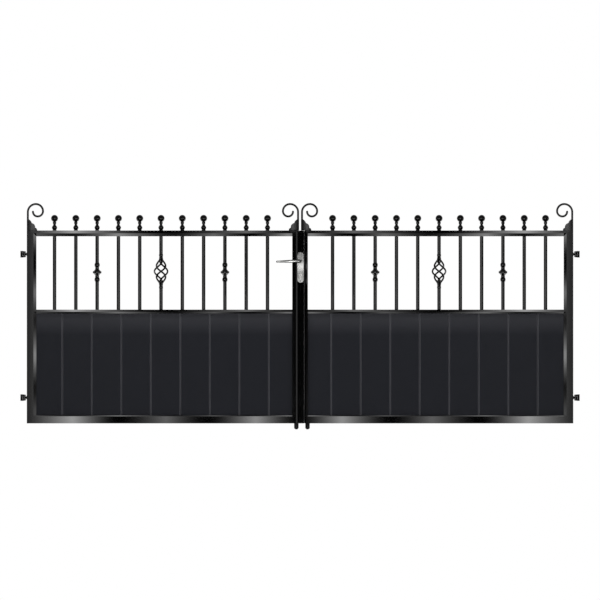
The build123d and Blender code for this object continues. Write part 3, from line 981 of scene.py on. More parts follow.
@dataclass
class TwistedBaskets(LeafWork):
    """The middle bar: four round strands that twist and swell out between two ferrules."""

    middle_height: float = 0.6929
    length: float = 0.164
    radius: float = 0.036
    end_radius: float = 0.005
    strand_radius: float = 0.005
    strands: int = 4
    twist: float = 345.0
    fullness: float = 1.7
    stations: int = 110
    strand_sides: int = 16
    ferrule_radius: float = 0.0113
    ferrule_length: float = 0.016
    ferrule_lap: float = 0.003
    sides: int = 36

    label = "twisted_basket"
    node = "basket_bar"

    def strand(self, turn: float) -> Surface:
        """One strand: radius e + (R - e) cos(pi s / 2)^n at angle turn + twist s / 2, s in -1..1.

        Args:
            turn: Angle of the strand's middle in degrees.

        Returns:
            The strand's tube about the basket's middle.
        """
        share = np.linspace(-1, 1, self.stations)
        swell = np.clip(np.cos(np.pi / 2 * share), 0, None) ** self.fullness
        radius = self.end_radius + (self.radius - self.end_radius) * swell
        angle = np.radians(turn + self.twist / 2 * share)
        outward = grid(np.cos(angle), np.sin(angle), 0.0)
        path = radius[:, None] * outward + np.outer(share * self.length / 2, UP)
        thick = np.full(self.stations, self.strand_radius)
        return tube(path, outward, thick, thick, self.strand_sides)

    def half_bar(self) -> Surface:
        """Turn the bar below the basket, its ferrule and the root that the strands run into.

        Returns:
            The half bar about the basket's middle.
        """
        bar, ferrule = GATE.bar_radius, self.ferrule_radius
        foot = GATE.mid_rail_top - self.middle_height
        end = self.ferrule_lap - self.length / 2
        start = end - self.ferrule_length
        profile = np.array(
            (
                (bar, foot), (bar, start - 0.0006), (bar, start), (ferrule * 0.95, start + 0.0006),
                (ferrule, start + 0.002), (ferrule, end - 0.006), (ferrule * 0.97, end - 0.004),
                (ferrule * 0.88, end - 0.0018), (ferrule * 0.78, end), (ferrule * 0.7, end + 0.007),
                (ferrule * 0.52, end + 0.015), (ferrule * 0.28, end + 0.022),
                (ferrule * 0.06, end + 0.026),
            )
        )
        return lathe(profile, self.sides)

    def surface(self) -> Surface:
        """Set strands at equal turns, a half bar below and one above, stretched to its rail.

        Returns:
            The left leaf's basket bar.
        """
        strands = [self.strand(360 / self.strands * k) for k in range(self.strands)]
        below = self.half_bar()
        above = below.mirrored(0.0, axis=2)
        reach = GATE.top_rail_bottom - self.middle_height
        points = above.points.copy()
        height = points[:, 2]
        points[:, 2] = np.where(np.isclose(height, height.max()), reach, height)
        above = Surface(points, above.quads, above.triangles)
        place = np.array([(GATE.bar_places[GATE.basket_index], 0.0, self.middle_height)])
        return below.joined(above, *strands).copies(place)


@dataclass
class BarCollars(LeafWork):
    """Cast collars on two bars: a disc with a round rim between two bowed barrels."""

    middle_height: float = 0.68807
    disc_radius: float = 0.0243
    disc_half_height: float = 0.017
    sleeve_radius: float = 0.0108
    barrel_radius: float = 0.0148
    barrel_end_radius: float = 0.0115
    barrel_height: float = 0.023
    barrel_offset: float = 0.04
    barrel_steps: int = 21
    sides: int = 44

    label = "cast_collars"
    node = "bar_collars"

    def surface(self) -> Surface:
        """Turn half a profile and its mirror image; barrels bow as e + (R - e) (1 - s^2).

        Returns:
            The left leaf's collars.
        """
        low = self.barrel_offset - self.barrel_height / 2
        high = self.barrel_offset + self.barrel_height / 2
        disc, lip, sleeve = self.disc_radius, self.barrel_end_radius, self.sleeve_radius
        span = np.linspace(-1, 1, self.barrel_steps)
        bow = lip + (self.barrel_radius - lip) * (1 - span**2)
        barrel = grid(bow, self.barrel_offset + span * self.barrel_height / 2)
        rim = np.array(
            (
                (disc, 0.0), (disc, 0.0038), (disc * 0.985, 0.0049), (disc * 0.93, 0.0057),
                (0.0201, 0.0072), (0.0174, 0.0097), (0.0146, 0.0123), (0.0123, 0.0148),
                (sleeve * 1.02, 0.0165), (sleeve, self.disc_half_height),
            )
        )
        neck = np.array(((sleeve, low - 0.0008), (sleeve * 1.02, low - 0.0002)))
        shut = np.array(((lip * 0.97, high + 0.0004), (GATE.bar_radius, high + 0.0006)))
        upper = np.concatenate((rim, neck, barrel, shut))
        lower = upper[:0:-1] * (1, -1)
        collar = lathe(np.concatenate((lower, upper)), self.sides)
        places = GATE.bar_places[list(GATE.collar_indexes)]
        return collar.copies(grid(places, 0.0, self.middle_height))


@dataclass
class Scrolls(LeafWork):
    """Round rods that rise from the brackets and curl inwards to a rounded end."""

    rod_radius: float = 0.0058
    bracket_height: float = 0.061
    stem_rise: float = 0.04
    stem_steps: int = 8
    radii: tuple[float, ...] = (0.044, 0.039, 0.029, 0.026)
    arc_steps: int = 22
    dome_steps: int = 7
    tip_share: float = 0.02
    sides: int = 20

    label = "round_scrolls"
    node = "scrolls"

    def surface(self) -> Surface:
        """Sum arcs of radius r: x += r (cos a - cos b), z += r (sin b - sin a) from heading a to b.

        Returns:
            The left leaf's outer scroll and its mirror image.
        """
        arcs = len(self.radii)
        turn = np.linspace(0, np.pi / 2 * arcs, self.arc_steps * arcs + 1)
        radius = np.repeat(self.radii, self.arc_steps)
        x = running(-radius * np.diff(np.cos(turn)))
        z = running(radius * np.diff(np.sin(turn)))
        foot = GATE.top + self.bracket_height
        curl = grid(x, 0.0, z + self.stem_rise)
        stem = np.linspace((0, 0, 0), self.stem_rise * UP, self.stem_steps, endpoint=False)
        path = np.concatenate((stem, curl))
        dome = np.linspace(0, np.pi / 2, self.dome_steps)[1:]
        forward = np.array((np.sin(turn[-1]), 0, np.cos(turn[-1])))
        tip = path[-1] + np.outer(np.sin(dome) * self.rod_radius, forward)
        shrink = np.concatenate((np.ones(len(path)), np.maximum(np.cos(dome), self.tip_share)))
        thick = shrink * self.rod_radius
        rod = tube(np.concatenate((path, tip)), BACK, thick, thick, self.sides)
        outer = rod.copies(np.array([(GATE.left_edge + self.rod_radius, 0.0, foot)]))
        return outer.joined(outer.mirrored(GATE.leaf_middle))


@dataclass
class ScrollBrackets(LeafWork):
    """Stepped brackets: three rounded lobes, each thinner than the one before."""

    width: float = 0.057
    height: float = 0.061
    steps: tuple[Pair, ...] = ((0.21, 1.0), (0.48, 0.67), (0.81, 0.25), (1.0, 0.0))
    bulges: tuple[float, ...] = (0.1, 0.2, 0.2)
    thicknesses: tuple[float, ...] = (0.02, 0.016, 0.012)
    middle: Pair = (0.2, 0.25)
    chord_steps: int = 12
    rounding: float = 0.0016

    label = "lobed_brackets"
    node = "scroll_brackets"

    def lobe(self, number: int, thickness: float) -> Surface:
        """Plate down to one step: chords bow out by the parabola 4 b t (1 - t) of their length.

        Args:
            number: How many lobes the plate takes in.
            thickness: The plate's thickness.

        Returns:
            The plate with rounded edges.
        """
        size, foot = np.array((self.width, self.height)), np.array((GATE.left_edge, GATE.top))
        corners = np.array(self.steps) * size + foot
        starts, ends = corners[:number, None], corners[1 : number + 1, None]
        t = np.linspace(0, 1, self.chord_steps, endpoint=False)[None, :, None]
        chord = ends - starts
        square = grid(-chord[..., 1], chord[..., 0])
        bulge = np.array(self.bulges)[:number, None, None]
        bow = (starts + chord * t + square * (4 * bulge * t * (1 - t))).reshape(-1, 2)
        last = corners[number]
        drop = np.array([last, (last[0], GATE.top)])
        end = drop if number < len(self.thicknesses) else drop[:1]
        side = np.array((foot, foot + (0.0, self.height)))
        outline = np.concatenate((side, bow, end))[::-1]
        middle = foot + self.middle * size
        return slab(outline, middle, (-thickness / 2, thickness / 2), self.rounding)

    def surface(self) -> Surface:
        """The lobes of the outer bracket and their mirror image.

        Returns:
            The left leaf's brackets.
        """
        lobes = [self.lobe(k + 1, thickness) for k, thickness in enumerate(self.thicknesses)]
        outer = lobes[0].joined(*lobes[1:])
        return outer.joined(outer.mirrored(GATE.leaf_middle))


@dataclass
class WeldFillets(LeafWork):
    """Coated weld fillets where the bars meet the rails."""

    size: float = 0.0024
    bend_steps: int = 6
    sunk_share: float = 0.96
    sides: int = 28

    label = "weld_fillets"

    def surface(self) -> Surface:
        """Hoops with a hollow three-sided section, at every bar's foot and mirrored at its head.

        Returns:
            The left leaf's fillets.
        """
        bend = np.linspace(0, np.pi / 2, self.bend_steps)
        bar, leg = GATE.bar_radius, self.size
        curve = grid(bar + leg * (1 - np.sin(bend)), leg * (1 - np.cos(bend)))
        sunk = bar * self.sunk_share
        radius, height = np.concatenate((((sunk, 0.0),), curve, ((sunk, leg),))).T
        x, y = circle(self.sides).T[..., None]
        foot = hoop(grid(x * radius, y * radius, height)[:, ::-1])
        head = foot.mirrored(0.0, axis=2)
        below = grid(GATE.bar_places, 0.0, GATE.mid_rail_top)
        above = grid(GATE.bar_places, 0.0, GATE.top_rail_bottom)
        return foot.copies(below).joined(head.copies(above))


@dataclass
class LockFurniture(SubAssembly):
    """Levers, spindle, plate screws, key plugs and keyways on the lock strip."""

    plate_middle: float = 1.5375
    lever_height: float = 0.749
    cylinder_height: float = 0.671
    front_face: float = -0.034
    back_face: float = 0.028
    face_gap: float = 0.0005
    stand: float = 0.0405
    bend: float = 0.011
    length: float = 0.134
    root_half_height: float = 0.0094
    tip_half_height: float = 0.0056
    half_depth: float = 0.0062
    grip_lean: float = 0.003
    tip_length: float = 0.0055
    tip_share: float = 0.03
    tip_drop: float = 0.003
    drop_power: float = 1.6
    lever_power: float = 2.4
    lever_steps: tuple[int, int, int, int] = (8, 14, 40, 8)
    lever_sides: int = 28
    spindle_radius: float = 0.005
    spindle_lap: float = 0.001
    spindle_steps: int = 5
    spindle_sides: int = 20
    screw_heights: Pair = (0.787, 0.641)
    screw_radius: float = 0.0042
    screw_sides: int = 24
    plug_radius: float = 0.0066
    plug_rim: float = 0.0006
    plug_face: float = 0.0009
    plug_sides: int = 28
    cylinder_proud: float = 0.002
    keyway_half_size: Pair = (0.0009, 0.0034)
    keyway_straight: float = 0.0008
    keyway_stand: Pair = (0.00012, 0.0003)
    keyway_rounding: float = 0.0001
    keyway_sides: int = 24

    def lever(self) -> Surface:
        """Front lever: a neck that bends a quarter turn into a tapering grip with a rounded tip.

        Returns:
            The lever, its neck standing on the front plate.
        """
        start = self.front_face - self.face_gap
        out = start - self.stand
        neck_steps, bend_steps, grip_steps, cap_steps = self.lever_steps
        turn = np.linspace(0, np.pi / 2, bend_steps)
        neck = np.linspace((0, start), (0, out + self.bend), neck_steps, endpoint=False)
        corner = grid(-self.bend * (1 - np.cos(turn)), out + self.bend - self.bend * np.sin(turn))
        grip_end = (-self.length + self.tip_length, out + self.grip_lean)
        grip = np.linspace((-self.bend, out), grip_end, grip_steps)[1:]
        line = np.concatenate((neck, corner, grip))
        cap = np.linspace(0, np.pi / 2, cap_steps)[1:]
        shrink = np.concatenate((np.ones(len(line)), np.maximum(np.cos(cap), self.tip_share)))
        tip = line[-1] + np.outer(np.sin(cap) * self.tip_length, (-1.0, 0.0))
        line = np.concatenate((line, tip))
        run = running(np.linalg.norm(np.diff(line, axis=0), axis=-1))
        share = np.clip((run - self.stand) / (run[-1] - self.stand), 0, 1)
        drop = self.tip_drop * share**self.drop_power
        path = grid(self.plate_middle + line[:, 0], line[:, 1], self.lever_height - drop)
        root = self.root_half_height
        ease = share * share * (3 - 2 * share)
        tall = root + (self.tip_half_height - root) * ease
        bent = np.clip((run - self.stand + self.bend) / (self.bend * np.pi / 2), 0, 1)
        deep = root + (self.half_depth - root) * bent
        return tube(path, UP, tall * shrink, deep * shrink, self.lever_sides, self.lever_power)

    def spindle(self) -> Surface:
        """Round spindle through both plates, as a straight tube along Y.

        Returns:
            The spindle.
        """
        front, back = self.front_face - self.spindle_lap, self.back_face + self.spindle_lap
        ends = np.linspace(front, back, self.spindle_steps)
        thick = np.full(self.spindle_steps, self.spindle_radius)
        path = grid(self.plate_middle, ends, self.lever_height)
        return tube(path, UP, thick, thick, self.spindle_sides)

    def button(self, radius: float, profile: Array, height: float, sides: int) -> Surface:
        """Small turned head on the front plate, laid from Z to -Y: (x, y, z) becomes (x, -z, y).

        Args:
            radius: Scale of the profile's radii.
            profile: Rows of radius share and stand off the face.
            height: Height of the head's middle.
            sides: Points round the head.

        Returns:
            The head on the front plate.
        """
        turned = lathe(profile * (radius, 1.0), sides)
        middle = (self.plate_middle, self.front_face, height)
        points = turned.points[:, (0, 2, 1)] * (1, -1, 1) + middle
        return Surface(points, turned.quads, turned.triangles)

    def screws(self) -> Surface:
        """Round screw heads with a socket, one at either end of the front plate.

        Returns:
            The heads.
        """
        head = np.array(
            (
                (1.0, -0.0004), (1.0, 0.0002), (0.93, 0.0011), (0.78, 0.0018), (0.56, 0.0021),
                (0.5, 0.0021), (0.48, 0.0019), (0.46, 0.0006), (0.02, 0.0005),
            )
        )
        radius, sides = self.screw_radius, self.screw_sides
        heads = [self.button(radius, head, height, sides) for height in self.screw_heights]
        return heads[0].joined(*heads[1:])

    def plug(self) -> Surface:
        """Key plug whose face stands just proud of the cylinder.

        Returns:
            The plug.
        """
        rim, face = self.cylinder_proud + self.plug_rim, self.cylinder_proud + self.plug_face
        profile = np.array(((1.0, 0.0), (1.0, rim), (0.95, face), (0.1, face)))
        return self.button(self.plug_radius, profile, self.cylinder_height, self.plug_sides)

    def keyway(self) -> Surface:
        """Upright slot on the plug: an ellipse whose halves stand apart by a straight length.

        Returns:
            The keyway, a hair off the plug's face.
        """
        turn = circle(self.keyway_sides)
        middle = (self.plate_middle, self.cylinder_height)
        apart = np.sign(turn[:, 1:]) * (0, self.keyway_straight)
        outline = turn * self.keyway_half_size + apart + middle
        near = self.front_face - self.cylinder_proud - self.plug_face
        off, sunk = self.keyway_stand
        span = (near - off, near + sunk)
        return slab(outline, outline.mean(axis=0), span, self.keyway_rounding)

    def build(self) -> list[Piece]:
        """Place levers, screws, key plugs and keyways on both faces of the strip.

        Returns:
            Two levers, the screws, the key plugs and the keyways.
        """
        mirror_y = (self.front_face + self.back_face) / 2
        lever = self.lever()
        front, rear = lever.joined(self.spindle()), lever.mirrored(mirror_y, axis=1)
        fronts = (self.screws(), self.plug(), self.keyway())
        screws, plugs, keyways = (
            part.joined(part.mirrored(mirror_y, axis=1)) for part in fronts
        )
        steel, leaf = Slot.SATIN_STEEL, Leaf.LEFT.body
        return [
            placed(front, "front_lever_grip", "lever", steel, ("front_lever",)),
            placed(rear, "rear_lever_grip", "lever", steel, ("rear_lever",)),
            placed(screws, "plate_screws", leaf, steel),
            placed(plugs, "key_plugs", leaf, Slot.CYLINDER_METAL),
            placed(keyways, "keyways", leaf, Slot.SEAL_RUBBER),
        ]


@dataclass
class MeetingSeal(SubAssembly):
    """Ribbed rubber seal on the right meeting stile."""

    near: float = 1.55655
    far: float = 1.562
    half_depth: float = 0.005
    levels: Span = (-0.1405, 0.9165, 9)
    ribs: int = 3
    rib_depth: float = 0.0012
    rib_steps: int = 40
    fan_inset: float = 0.001

    def build(self) -> list[Piece]:
        """Carry a section whose face waves as cos(2 pi ribs t) along the stile.

        Returns:
            The seal.
        """
        t = np.linspace(0, 1, self.rib_steps)
        wave = self.near + self.rib_depth * (0.5 - 0.5 * np.cos(2 * np.pi * self.ribs * t))
        face = grid(wave, self.half_depth * (1 - 2 * t))
        back = np.array(((self.far, -self.half_depth), (self.far, self.half_depth)))
        x, y = np.concatenate((face, back)).T
        levels = marks(self.levels)
        ends = grid(self.far - self.fan_inset, 0.0, levels[[0, -1]])
        seal = skin(grid(x, y, levels[:, None]), *ends)
        stands_for = ("right_meeting_seal",)
        return [placed(seal, "ribbed_seal", Leaf.RIGHT.body, Slot.SEAL_RUBBER, stands_for)]


@dataclass
class StripCap(SubAssembly):
    """End cap on the lock strip, which passes just under the other leaf's bracket."""

    x_span: Pair = (1.5242, 1.5562)
    y_span: Pair = (-0.0255, 0.0195)
    z_span: Pair = (0.9125, 0.9171)
    rounding: float = 0.0006

    def build(self) -> list[Piece]:
        """Lay a plate with rounded edges on the strip."""
        cap = slab(*block(self.x_span, self.z_span), self.y_span, self.rounding)
        return [placed(cap, "strip_cap", Leaf.LEFT.body, Slot.GLOSS_COAT)]


@dataclass
class HingeTrim(SubAssembly):
    """Caps on the hinge pins and wear pads behind the hinge eyes."""

    body: str = "posts_side"
    pin_x: float = 0.021
    heights: Pair = (0.0, 0.787)
    cap_radius: float = 0.0082
    cap_foot: float = 0.0136
    cap_height: float = 0.0036
    cap_sweep: Span = (0.0, 0.47, 12)
    cap_power: float = 0.5
    cap_sides: int = 28
    pad_x_span: Pair = (0.01105, 0.01185)
    pad_y_span: Pair = (-0.0085, 0.0085)
    pad_z_span: Pair = (-0.007, 0.007)
    pad_rounding: float = 0.0001

    def on_forks(self, surface: Surface) -> Surface:
        """Repeat one fork's surface at both heights and mirror it to the other post."""
        left = surface.copies(grid(0.0, 0.0, self.heights))
        return left.joined(left.mirrored(GATE.middle))

    def cap(self) -> Surface:
        """Domed cap: radius R cos(a)^n at height H sin(a) above its foot.

        Returns:
            The cap on the upper end of a pin.
        """
        angle = np.pi * marks(self.cap_sweep)
        radius = self.cap_radius * np.cos(angle) ** self.cap_power
        height = self.cap_foot + self.cap_height * np.sin(angle)
        dome = lathe(grid(radius, height), self.cap_sides)
        return dome.copies(np.array(((self.pin_x, 0.0, 0.0),)))

    def build(self) -> list[Piece]:
        """Cap both ends of every pin and set a pad in every fork.

        Returns:
            The caps and the pads.
        """
        cap = self.cap()
        pad = slab(*block(self.pad_x_span, self.pad_z_span), self.pad_y_span, self.pad_rounding)
        caps = self.on_forks(cap.joined(cap.mirrored(0.0, axis=2)))
        return [
            placed(caps, "pin_caps", self.body, Slot.GLOSS_COAT),
            placed(self.on_forks(pad), "wear_pads", self.body, Slot.SEAL_RUBBER),
        ]


@dataclass
class CoatedSolids(SubAssembly):
    """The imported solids, dressed in their record's finishes."""

    def build(self) -> list[Piece]:
        """Give every solid the material of the slot that its record names.

        Returns:
            The solids.
        """
        rows = frame["record"]["subparts"]
        slots = {row["node"]: Slot(row["material_slot"]) for row in rows}
        for name, node in frame["nodes"].items():
            node.data.materials.clear()
            node.data.materials.append(FINISHES[slots[name]].material())
            LOG.info("%s: coated as %s", name, slots[name].value)
        return list(frame["nodes"].values())


# Studio


@dataclass(frozen=True)
class LightStrip:
    """One strip of light on a card: a peak that falls away to both sides."""

    middle: float
    left_reach: float
    right_reach: float
    peak: float
    falloff: float = 2.4

    def glow(self, x: Array) -> Array:
        """Light at x: peak (1 - |x - middle| / reach)^falloff, with a reach for either side."""
        reach = np.where(x < self.middle, self.left_reach, self.right_reach)
        return self.peak * np.clip(1 - np.abs(x - self.middle) / reach, 0, 1) ** self.falloff


@dataclass(frozen=True)
class LightSpot:
    """One soft spot of light on a card."""

    middle: float
    width: float
    peak: float

    def glow(self, x: Array) -> Array:
        """Light at x: the Gaussian peak exp(-((x - middle) / width)^2)."""
        return self.peak * np.exp(-(((x - self.middle) / self.width) ** 2))


@dataclass(frozen=True)
class Window:
    """Stretch of a card that fades in from its start and out to its end."""

    start: float
    end: float
    fade_in: float
    fade_out: float

    def share(self, x: Array) -> Array:
        """Share at x: (x - start) / fade in times (end - x) / fade out, each held to 0..1."""
        rise = np.clip((x - self.start) / self.fade_in, 0, 1)
        return rise * np.clip((self.end - x) / self.fade_out, 0, 1)


def glow_of(lights: tuple[LightStrip | LightSpot, ...], x: Array, base: float = 0.0) -> Array:
    """Light of several strips or spots together at x, over an even base."""
    return sum((light.glow(x) for light in lights), base)


def light_only(light: Piece, pieces: Names) -> None:
    """Let a lamp or card light the named pieces alone, or everything if none is named.

    Args:
        light: The lamp or card.
        pieces: Names of solids and pieces.
    """
    if not pieces:
        return
    lit = bpy.data.collections.new(f"{light.name} pieces")
    for piece in pieces:
        lit.objects.link(bpy.data.objects[piece])
    light.light_linking.receiver_collection = lit


@dataclass(frozen=True)
class SoftLamp:
    """Soft rectangular lamp, unseen in the gloss unless it lights a few pieces alone."""

    name: str
    place: Point
    aim: Point
    size: Pair
    power: float
    lit: Names = ()

    def build(self) -> Piece:
        """Hang the lamp and turn it to its aim.

        Returns:
            The lamp's object.
        """
        light = bpy.data.lights.new(self.name, "AREA")
        light.shape = "RECTANGLE"
        light.size, light.size_y = self.size
        light.energy = self.power
        made = linked(self.name, light)
        place, aim = self.place, self.aim
        made.location = place
        away = Vector(place) - Vector(aim)
        made.rotation_euler = away.to_track_quat("Z", "Y").to_euler()
        made.visible_camera = False
        made.visible_glossy = bool(self.lit)
        light_only(made, self.lit)
        return made


@dataclass
class Studio(SubAssembly):
    """Floor, graded light cards, lamps, surroundings and camera."""

    floor: float = -0.1748
    floor_radii: Span = (0.2, 9.0, 12)
    floor_sides: int = 64
    view_height: float = 0.5358
    view_middle: float = 1.5348
    view_width: float = 3.294
    view_distance: float = 6.0
    back_light: tuple[float, float, float, float] = (0.55, 0.97, 0.05, 1.0)
    sky_light: tuple[float, float, float, float] = (0.1, 1.0, 0.1, 0.6)
    most_light: float = 1.0

    card_strength: float = 2.75
    card_distance: float = 2.5
    front_columns: tuple[Span, ...] = ((-3.2, -0.1, 63), (-0.09, 3.16, 651), (3.17, 6.27, 63))
    front_rows: tuple[Span, ...] = ((-0.6, 0.9, 51), (0.905, 1.01, 22), (1.02, 1.5, 17))
    front_ends: Window = Window(-0.6, 1.5, 0.2, 0.35)
    row_change: float = 0.02
    row_fade: float = 0.2
    low_strips: tuple[LightStrip, ...] = (
        LightStrip(0.288, 0.355, 0.247, 1.0),
        LightStrip(0.799, 0.264, 0.231, 0.35),
        LightStrip(1.293, 0.264, 0.236, 0.82),
        LightStrip(1.766, 0.236, 0.264, 0.86),
        LightStrip(2.26, 0.231, 0.264, 0.35),
        LightStrip(2.788, 0.264, 0.35, 1.0),
    )
    high_strips: tuple[LightStrip, ...] = (
        LightStrip(0.288, 0.355, 0.461, 1.0),
        LightStrip(1.24, 0.461, 0.3, 0.37),
        LightStrip(1.832, 0.3, 0.494, 0.36),
        LightStrip(2.771, 0.445, 0.37, 1.0),
    )
    posts: tuple[Window, ...] = (Window(-0.48, -0.16, 0.04, 0.04), Window(3.23, 3.55, 0.04, 0.04))
    post_bands: tuple[LightStrip, ...] = (
        LightStrip(0.887, 0.12, 0.2, 0.56),
        LightStrip(0.58, 0.2, 0.14, 0.55),
        LightStrip(0.228, 0.2, 0.24, 0.78),
        LightStrip(-0.08, 0.2, 0.18, 0.22),
    )
    bracket_edges: tuple[tuple[float, int], ...] = ((0.035, 1), (1.53, -1), (1.54, 1), (3.035, -1))
    bracket_heights: Window = Window(0.912, 1.0, 0.01, 0.01)
    bracket_reach: Window = Window(-0.008, 0.068, 0.006, 0.006)
    bracket_spot: LightSpot = LightSpot(0.033, 0.0117, 0.36)

    long_columns: Span = (-2.6, 5.67, 414)
    floor_rows: Span = (-2.45, -0.02, 163)
    floor_card_lift: float = 0.002
    far_row: Window = Window(-1.1, -0.5, 0.12, 0.12)
    near_row: Window = Window(-0.15, -0.03, 0.02, 0.02)
    near_share: float = 0.6
    floor_strips: tuple[LightStrip, ...] = (
        LightStrip(0.074, 0.4, 0.297, 0.26),
        LightStrip(0.535, 0.297, 0.37, 0.72),
        LightStrip(1.063, 0.296, 0.215, 0.37),
        LightStrip(1.478, 0.225, 0.08, 0.75),
        LightStrip(1.591, 0.08, 0.208, 0.72),
        LightStrip(1.996, 0.198, 0.337, 0.37),
        LightStrip(2.557, 0.37, 0.236, 0.63),
        LightStrip(2.985, 0.28, 0.4, 0.43),
    )
    upper_rails: Names = (
        "left_top_rail", "left_mid_rail", "right_top_rail", "right_mid_rail",
    )

    ceiling: float = 1.9
    ceiling_rows: Span = (-1.85, -1.2, 14)
    ceiling_row: Window = Window(-1.85, -1.2, 0.15, 0.15)
    bottom_rails: Names = ("left_bottom_rail", "right_bottom_rail")

    lock_card_strength: float = 1.0
    lock_card_distance: float = 0.5
    lock_columns: Span = (1.33, 1.59, 80)
    lock_rows: Span = (0.56, 0.88, 97)
    plate_columns: Window = Window(1.513, 1.572, 0.006, 0.008)
    plate_rows: Window = Window(0.619, 0.806, 0.01, 0.01)
    plate_glow: float = 0.36
    plate_spots: tuple[LightSpot, ...] = (
        LightSpot(0.72, 0.014, 2.4),
        LightSpot(0.638, 0.011, 1.3),
    )
    grip_columns: Window = Window(1.3, 1.5, 0.006, 0.006)
    grip_rows: Window = Window(0.57, 0.87, 0.03, 0.03)
    grip_glow: float = 0.4
    grip_spots: tuple[LightSpot, ...] = (
        LightSpot(1.464, 0.016, 3.5),
        LightSpot(1.374, 0.018, 4.5),
    )
    plates: Names = (
        "left_front_handle_plate", "left_rear_handle_plate", "left_lock_cylinder",
        "plate_screws", "key_plugs",
    )
    levers: Names = ("front_lever_grip", "rear_lever_grip")
    beside_lock: Names = ("right_meeting_stile",)

    lamps: tuple[SoftLamp, ...] = (
        SoftLamp(
            name="top_lamp",
            place=(GATE.middle, -0.6, 3.4),
            aim=(GATE.middle, 0.0, 0.4),
            size=(4.5, 1.6),
            power=120.0,
        ),
        SoftLamp(
            name="strip_lamp",
            place=(-0.63, -0.5, 0.385),
            aim=(1.515, -0.02, 0.385),
            size=(0.3, 1.3),
            power=0.2,
            lit=("left_lock_strip",),
        ),
        SoftLamp(
            name="lock_lamp",
            place=(GATE.middle, -1.5, 1.3),
            aim=(GATE.middle, 0.0, 0.72),
            size=(1.8, 1.6),
            power=13.0,
            lit=plates,
        ),
    )

    def card(
        self, name: str, points: Array, glow: Array, strength: float, lit: Names = ()
    ) -> Piece:
        """Make a card from a grid of points and the light at each of them.

        Args:
            name: Name of the card.
            points: Points of shape (rows, columns, 3).
            glow: Light of shape (rows, columns).
            strength: Light of a glow of one.
            lit: Pieces that it lights and that mirror it, all of them if left out.

        Returns:
            The card, unseen by the camera.
        """
        quads = cells(points.shape[:2], wrap_columns=False)
        mesh = bpy.data.meshes.new(name)
        mesh.from_pydata(points.reshape(-1, 3).tolist(), [], quads.tolist())
        level = mesh.attributes.new("glow", "FLOAT", "POINT")
        level.data.foreach_set("value", glow.astype(np.float32).ravel())
        mesh.materials.append(LightCard(f"{name} light", strength).material())
        made = linked(name, mesh)
        made.visible_camera = False
        made.visible_shadow = False
        made.visible_diffuse = not lit
        light_only(made, lit)
        return made

    def bracket_light(self, x: Array, z: Array, glow: Array) -> Array:
        """Dim the card before the brackets, but for a soft spot before each.

        Args:
            x: Places along the card.
            z: Heights on the card.
            glow: Light of shape (heights, places).

        Returns:
            The changed light.
        """
        for edge, inward in self.bracket_edges:
            reach = inward * (x - edge)
            before = self.bracket_heights.share(z) * self.bracket_reach.share(reach)
            glow = glow * (1 - before) + self.bracket_spot.glow(reach) * before
        return glow

    def front_card(self) -> Piece:
        """Upright card facing the gate: low strips, high strips and a banded post at either side.

        Returns:
            The card.
        """
        x, z = marks(*self.front_columns), marks(*self.front_rows)[:, None]
        low, high = glow_of(self.low_strips, x), glow_of(self.high_strips, x)
        share = np.clip((z - self.row_change) / self.row_fade, 0, 1)
        strips = (low * (1 - share) + high * share) * self.front_ends.share(z)
        posts = sum(post.share(x) for post in self.posts)
        glow = self.bracket_light(x, z, strips + glow_of(self.post_bands, z) * posts)
        return self.card("front_card", grid(x, -self.card_distance, z), glow, self.card_strength)

    def floor_card(self) -> Piece:
        """Card on the floor: strips for the top rails' bevels, and nearer ones for the mid rails'.

        Returns:
            The card.
        """
        x, y = marks(self.long_columns), marks(self.floor_rows)[:, None]
        rows = self.far_row.share(y) + self.near_share * self.near_row.share(y)
        glow = glow_of(self.floor_strips, x) * rows
        points = grid(x, y, self.floor + self.floor_card_lift)
        return self.card("floor_card", points, glow, self.card_strength, self.upper_rails)

    def ceiling_card(self) -> Piece:
        """Narrow card overhead with the floor's strips, which the bottom rails' bevels mirror.

        Returns:
            The card.
        """
        x, y = marks(self.long_columns), marks(self.ceiling_rows)[:, None]
        glow = glow_of(self.floor_strips, x) * self.ceiling_row.share(y)
        points = grid(x, y, self.ceiling)
        return self.card("ceiling_card", points, glow, self.card_strength, self.bottom_rails)

    def lock_card(self) -> Piece:
        """Small card before the lock: two bands over a glow for the plate, two for the lever.

        Returns:
            The card.
        """
        x, z = marks(self.lock_columns), marks(self.lock_rows)[:, None]
        plate = self.plate_columns.share(x) * self.plate_rows.share(z)
        grip = self.grip_columns.share(x) * self.grip_rows.share(z)
        plate_light = glow_of(self.plate_spots, z, self.plate_glow) * plate
        glow = plate_light + glow_of(self.grip_spots, x, self.grip_glow) * grip
        points = grid(x, -self.lock_card_distance, z)
        lit = self.plates + self.levers + self.beside_lock
        return self.card("lock_card", points, glow, self.lock_card_strength, lit)

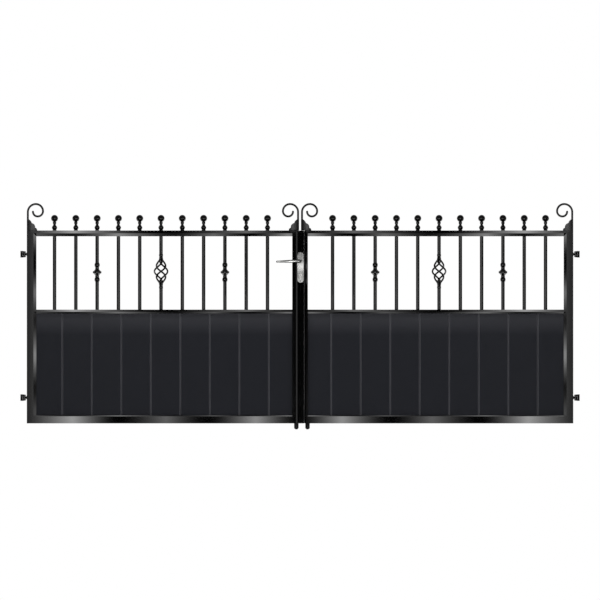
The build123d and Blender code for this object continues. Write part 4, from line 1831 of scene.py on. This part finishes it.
    def surroundings(self) -> None:
        """White to the camera and behind the gate; else soft sky to matt surfaces, dim to gloss."""
        world = bpy.data.worlds.new("Studio air")
        bpy.context.scene.world = world
        world.use_nodes = True
        nodes = NodeTree(world.node_tree)
        towards = nodes.add("TexCoord").outputs["Generated"]
        path = nodes.add("LightPath").outputs
        back = nodes.spread(nodes.part(towards, "Y"), *self.back_light)
        above = nodes.spread(nodes.part(towards, "Z"), *self.sky_light)
        matt = nodes.math("SUBTRACT", 1.0, path["Is Glossy Ray"])
        level = nodes.math("ADD", back, nodes.math("MULTIPLY", above, matt))
        level = nodes.math("MINIMUM", level, self.most_light)
        shade = nodes.math("MAXIMUM", level, path["Is Camera Ray"])
        air = nodes.add("Background", {"Color": WHITE, "Strength": shade})
        nodes.add("OutputWorld", {"Surface": air.outputs["Background"]})

    def ground(self) -> Piece:
        """Round floor: rings of radius r about the gate's middle.

        Returns:
            The floor.
        """
        radius = marks(self.floor_radii)[:, None]
        x, y = circle(self.floor_sides).T
        rings = grid(radius * x, radius * y, self.floor)
        quads = cells(rings.shape[:2])[:, (0, 3, 2, 1)]
        points = rings.reshape(-1, 3) + (GATE.middle, 0, 0)
        mesh = bpy.data.meshes.new("floor")
        middle = list(range(self.floor_sides))
        mesh.from_pydata(points.tolist(), [], [middle, *quads.tolist()])
        mesh.materials.append(StudioFloor("Studio floor").material())
        made = linked("floor", mesh)
        return made

    def camera(self) -> Piece:
        """Straight-on camera with parallel rays, its view set to the given width.

        Returns:
            The camera.
        """
        data = bpy.data.cameras.new("front")
        data.type = "ORTHO"
        data.ortho_scale = self.view_width
        made = linked("front", data)
        made.location = (self.view_middle, -self.view_distance, self.view_height)
        made.rotation_euler = (np.pi / 2, 0.0, 0.0)
        bpy.context.scene.camera = made
        return made

    def build(self) -> list[Piece]:
        """Set the stage round the gate.

        Returns:
            Floor, cards, lamps and camera.
        """
        self.surroundings()
        bpy.context.scene.view_settings.view_transform = "Standard"
        lamps = [lamp.build() for lamp in self.lamps]
        cards = [self.front_card(), self.floor_card(), self.ceiling_card(), self.lock_card()]
        return [self.ground(), *cards, *lamps, self.camera()]


def main() -> None:
    """Dress the solids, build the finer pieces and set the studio."""
    logging.basicConfig(level=logging.INFO, format="%(name)s: %(message)s")
    assemblies: tuple[SubAssembly, ...] = (
        CoatedSolids(),
        BallFinials(),
        TwistedBaskets(),
        BarCollars(),
        Scrolls(),
        ScrollBrackets(),
        WeldFillets(),
        LockFurniture(),
        MeetingSeal(),
        StripCap(),
        HingeTrim(),
        Studio(),
    )
    for assembly in assemblies:
        made = assembly.build()
        LOG.info("%s: %d objects", type(assembly).__name__, len(made))


if __name__ == "__main__":
    main()
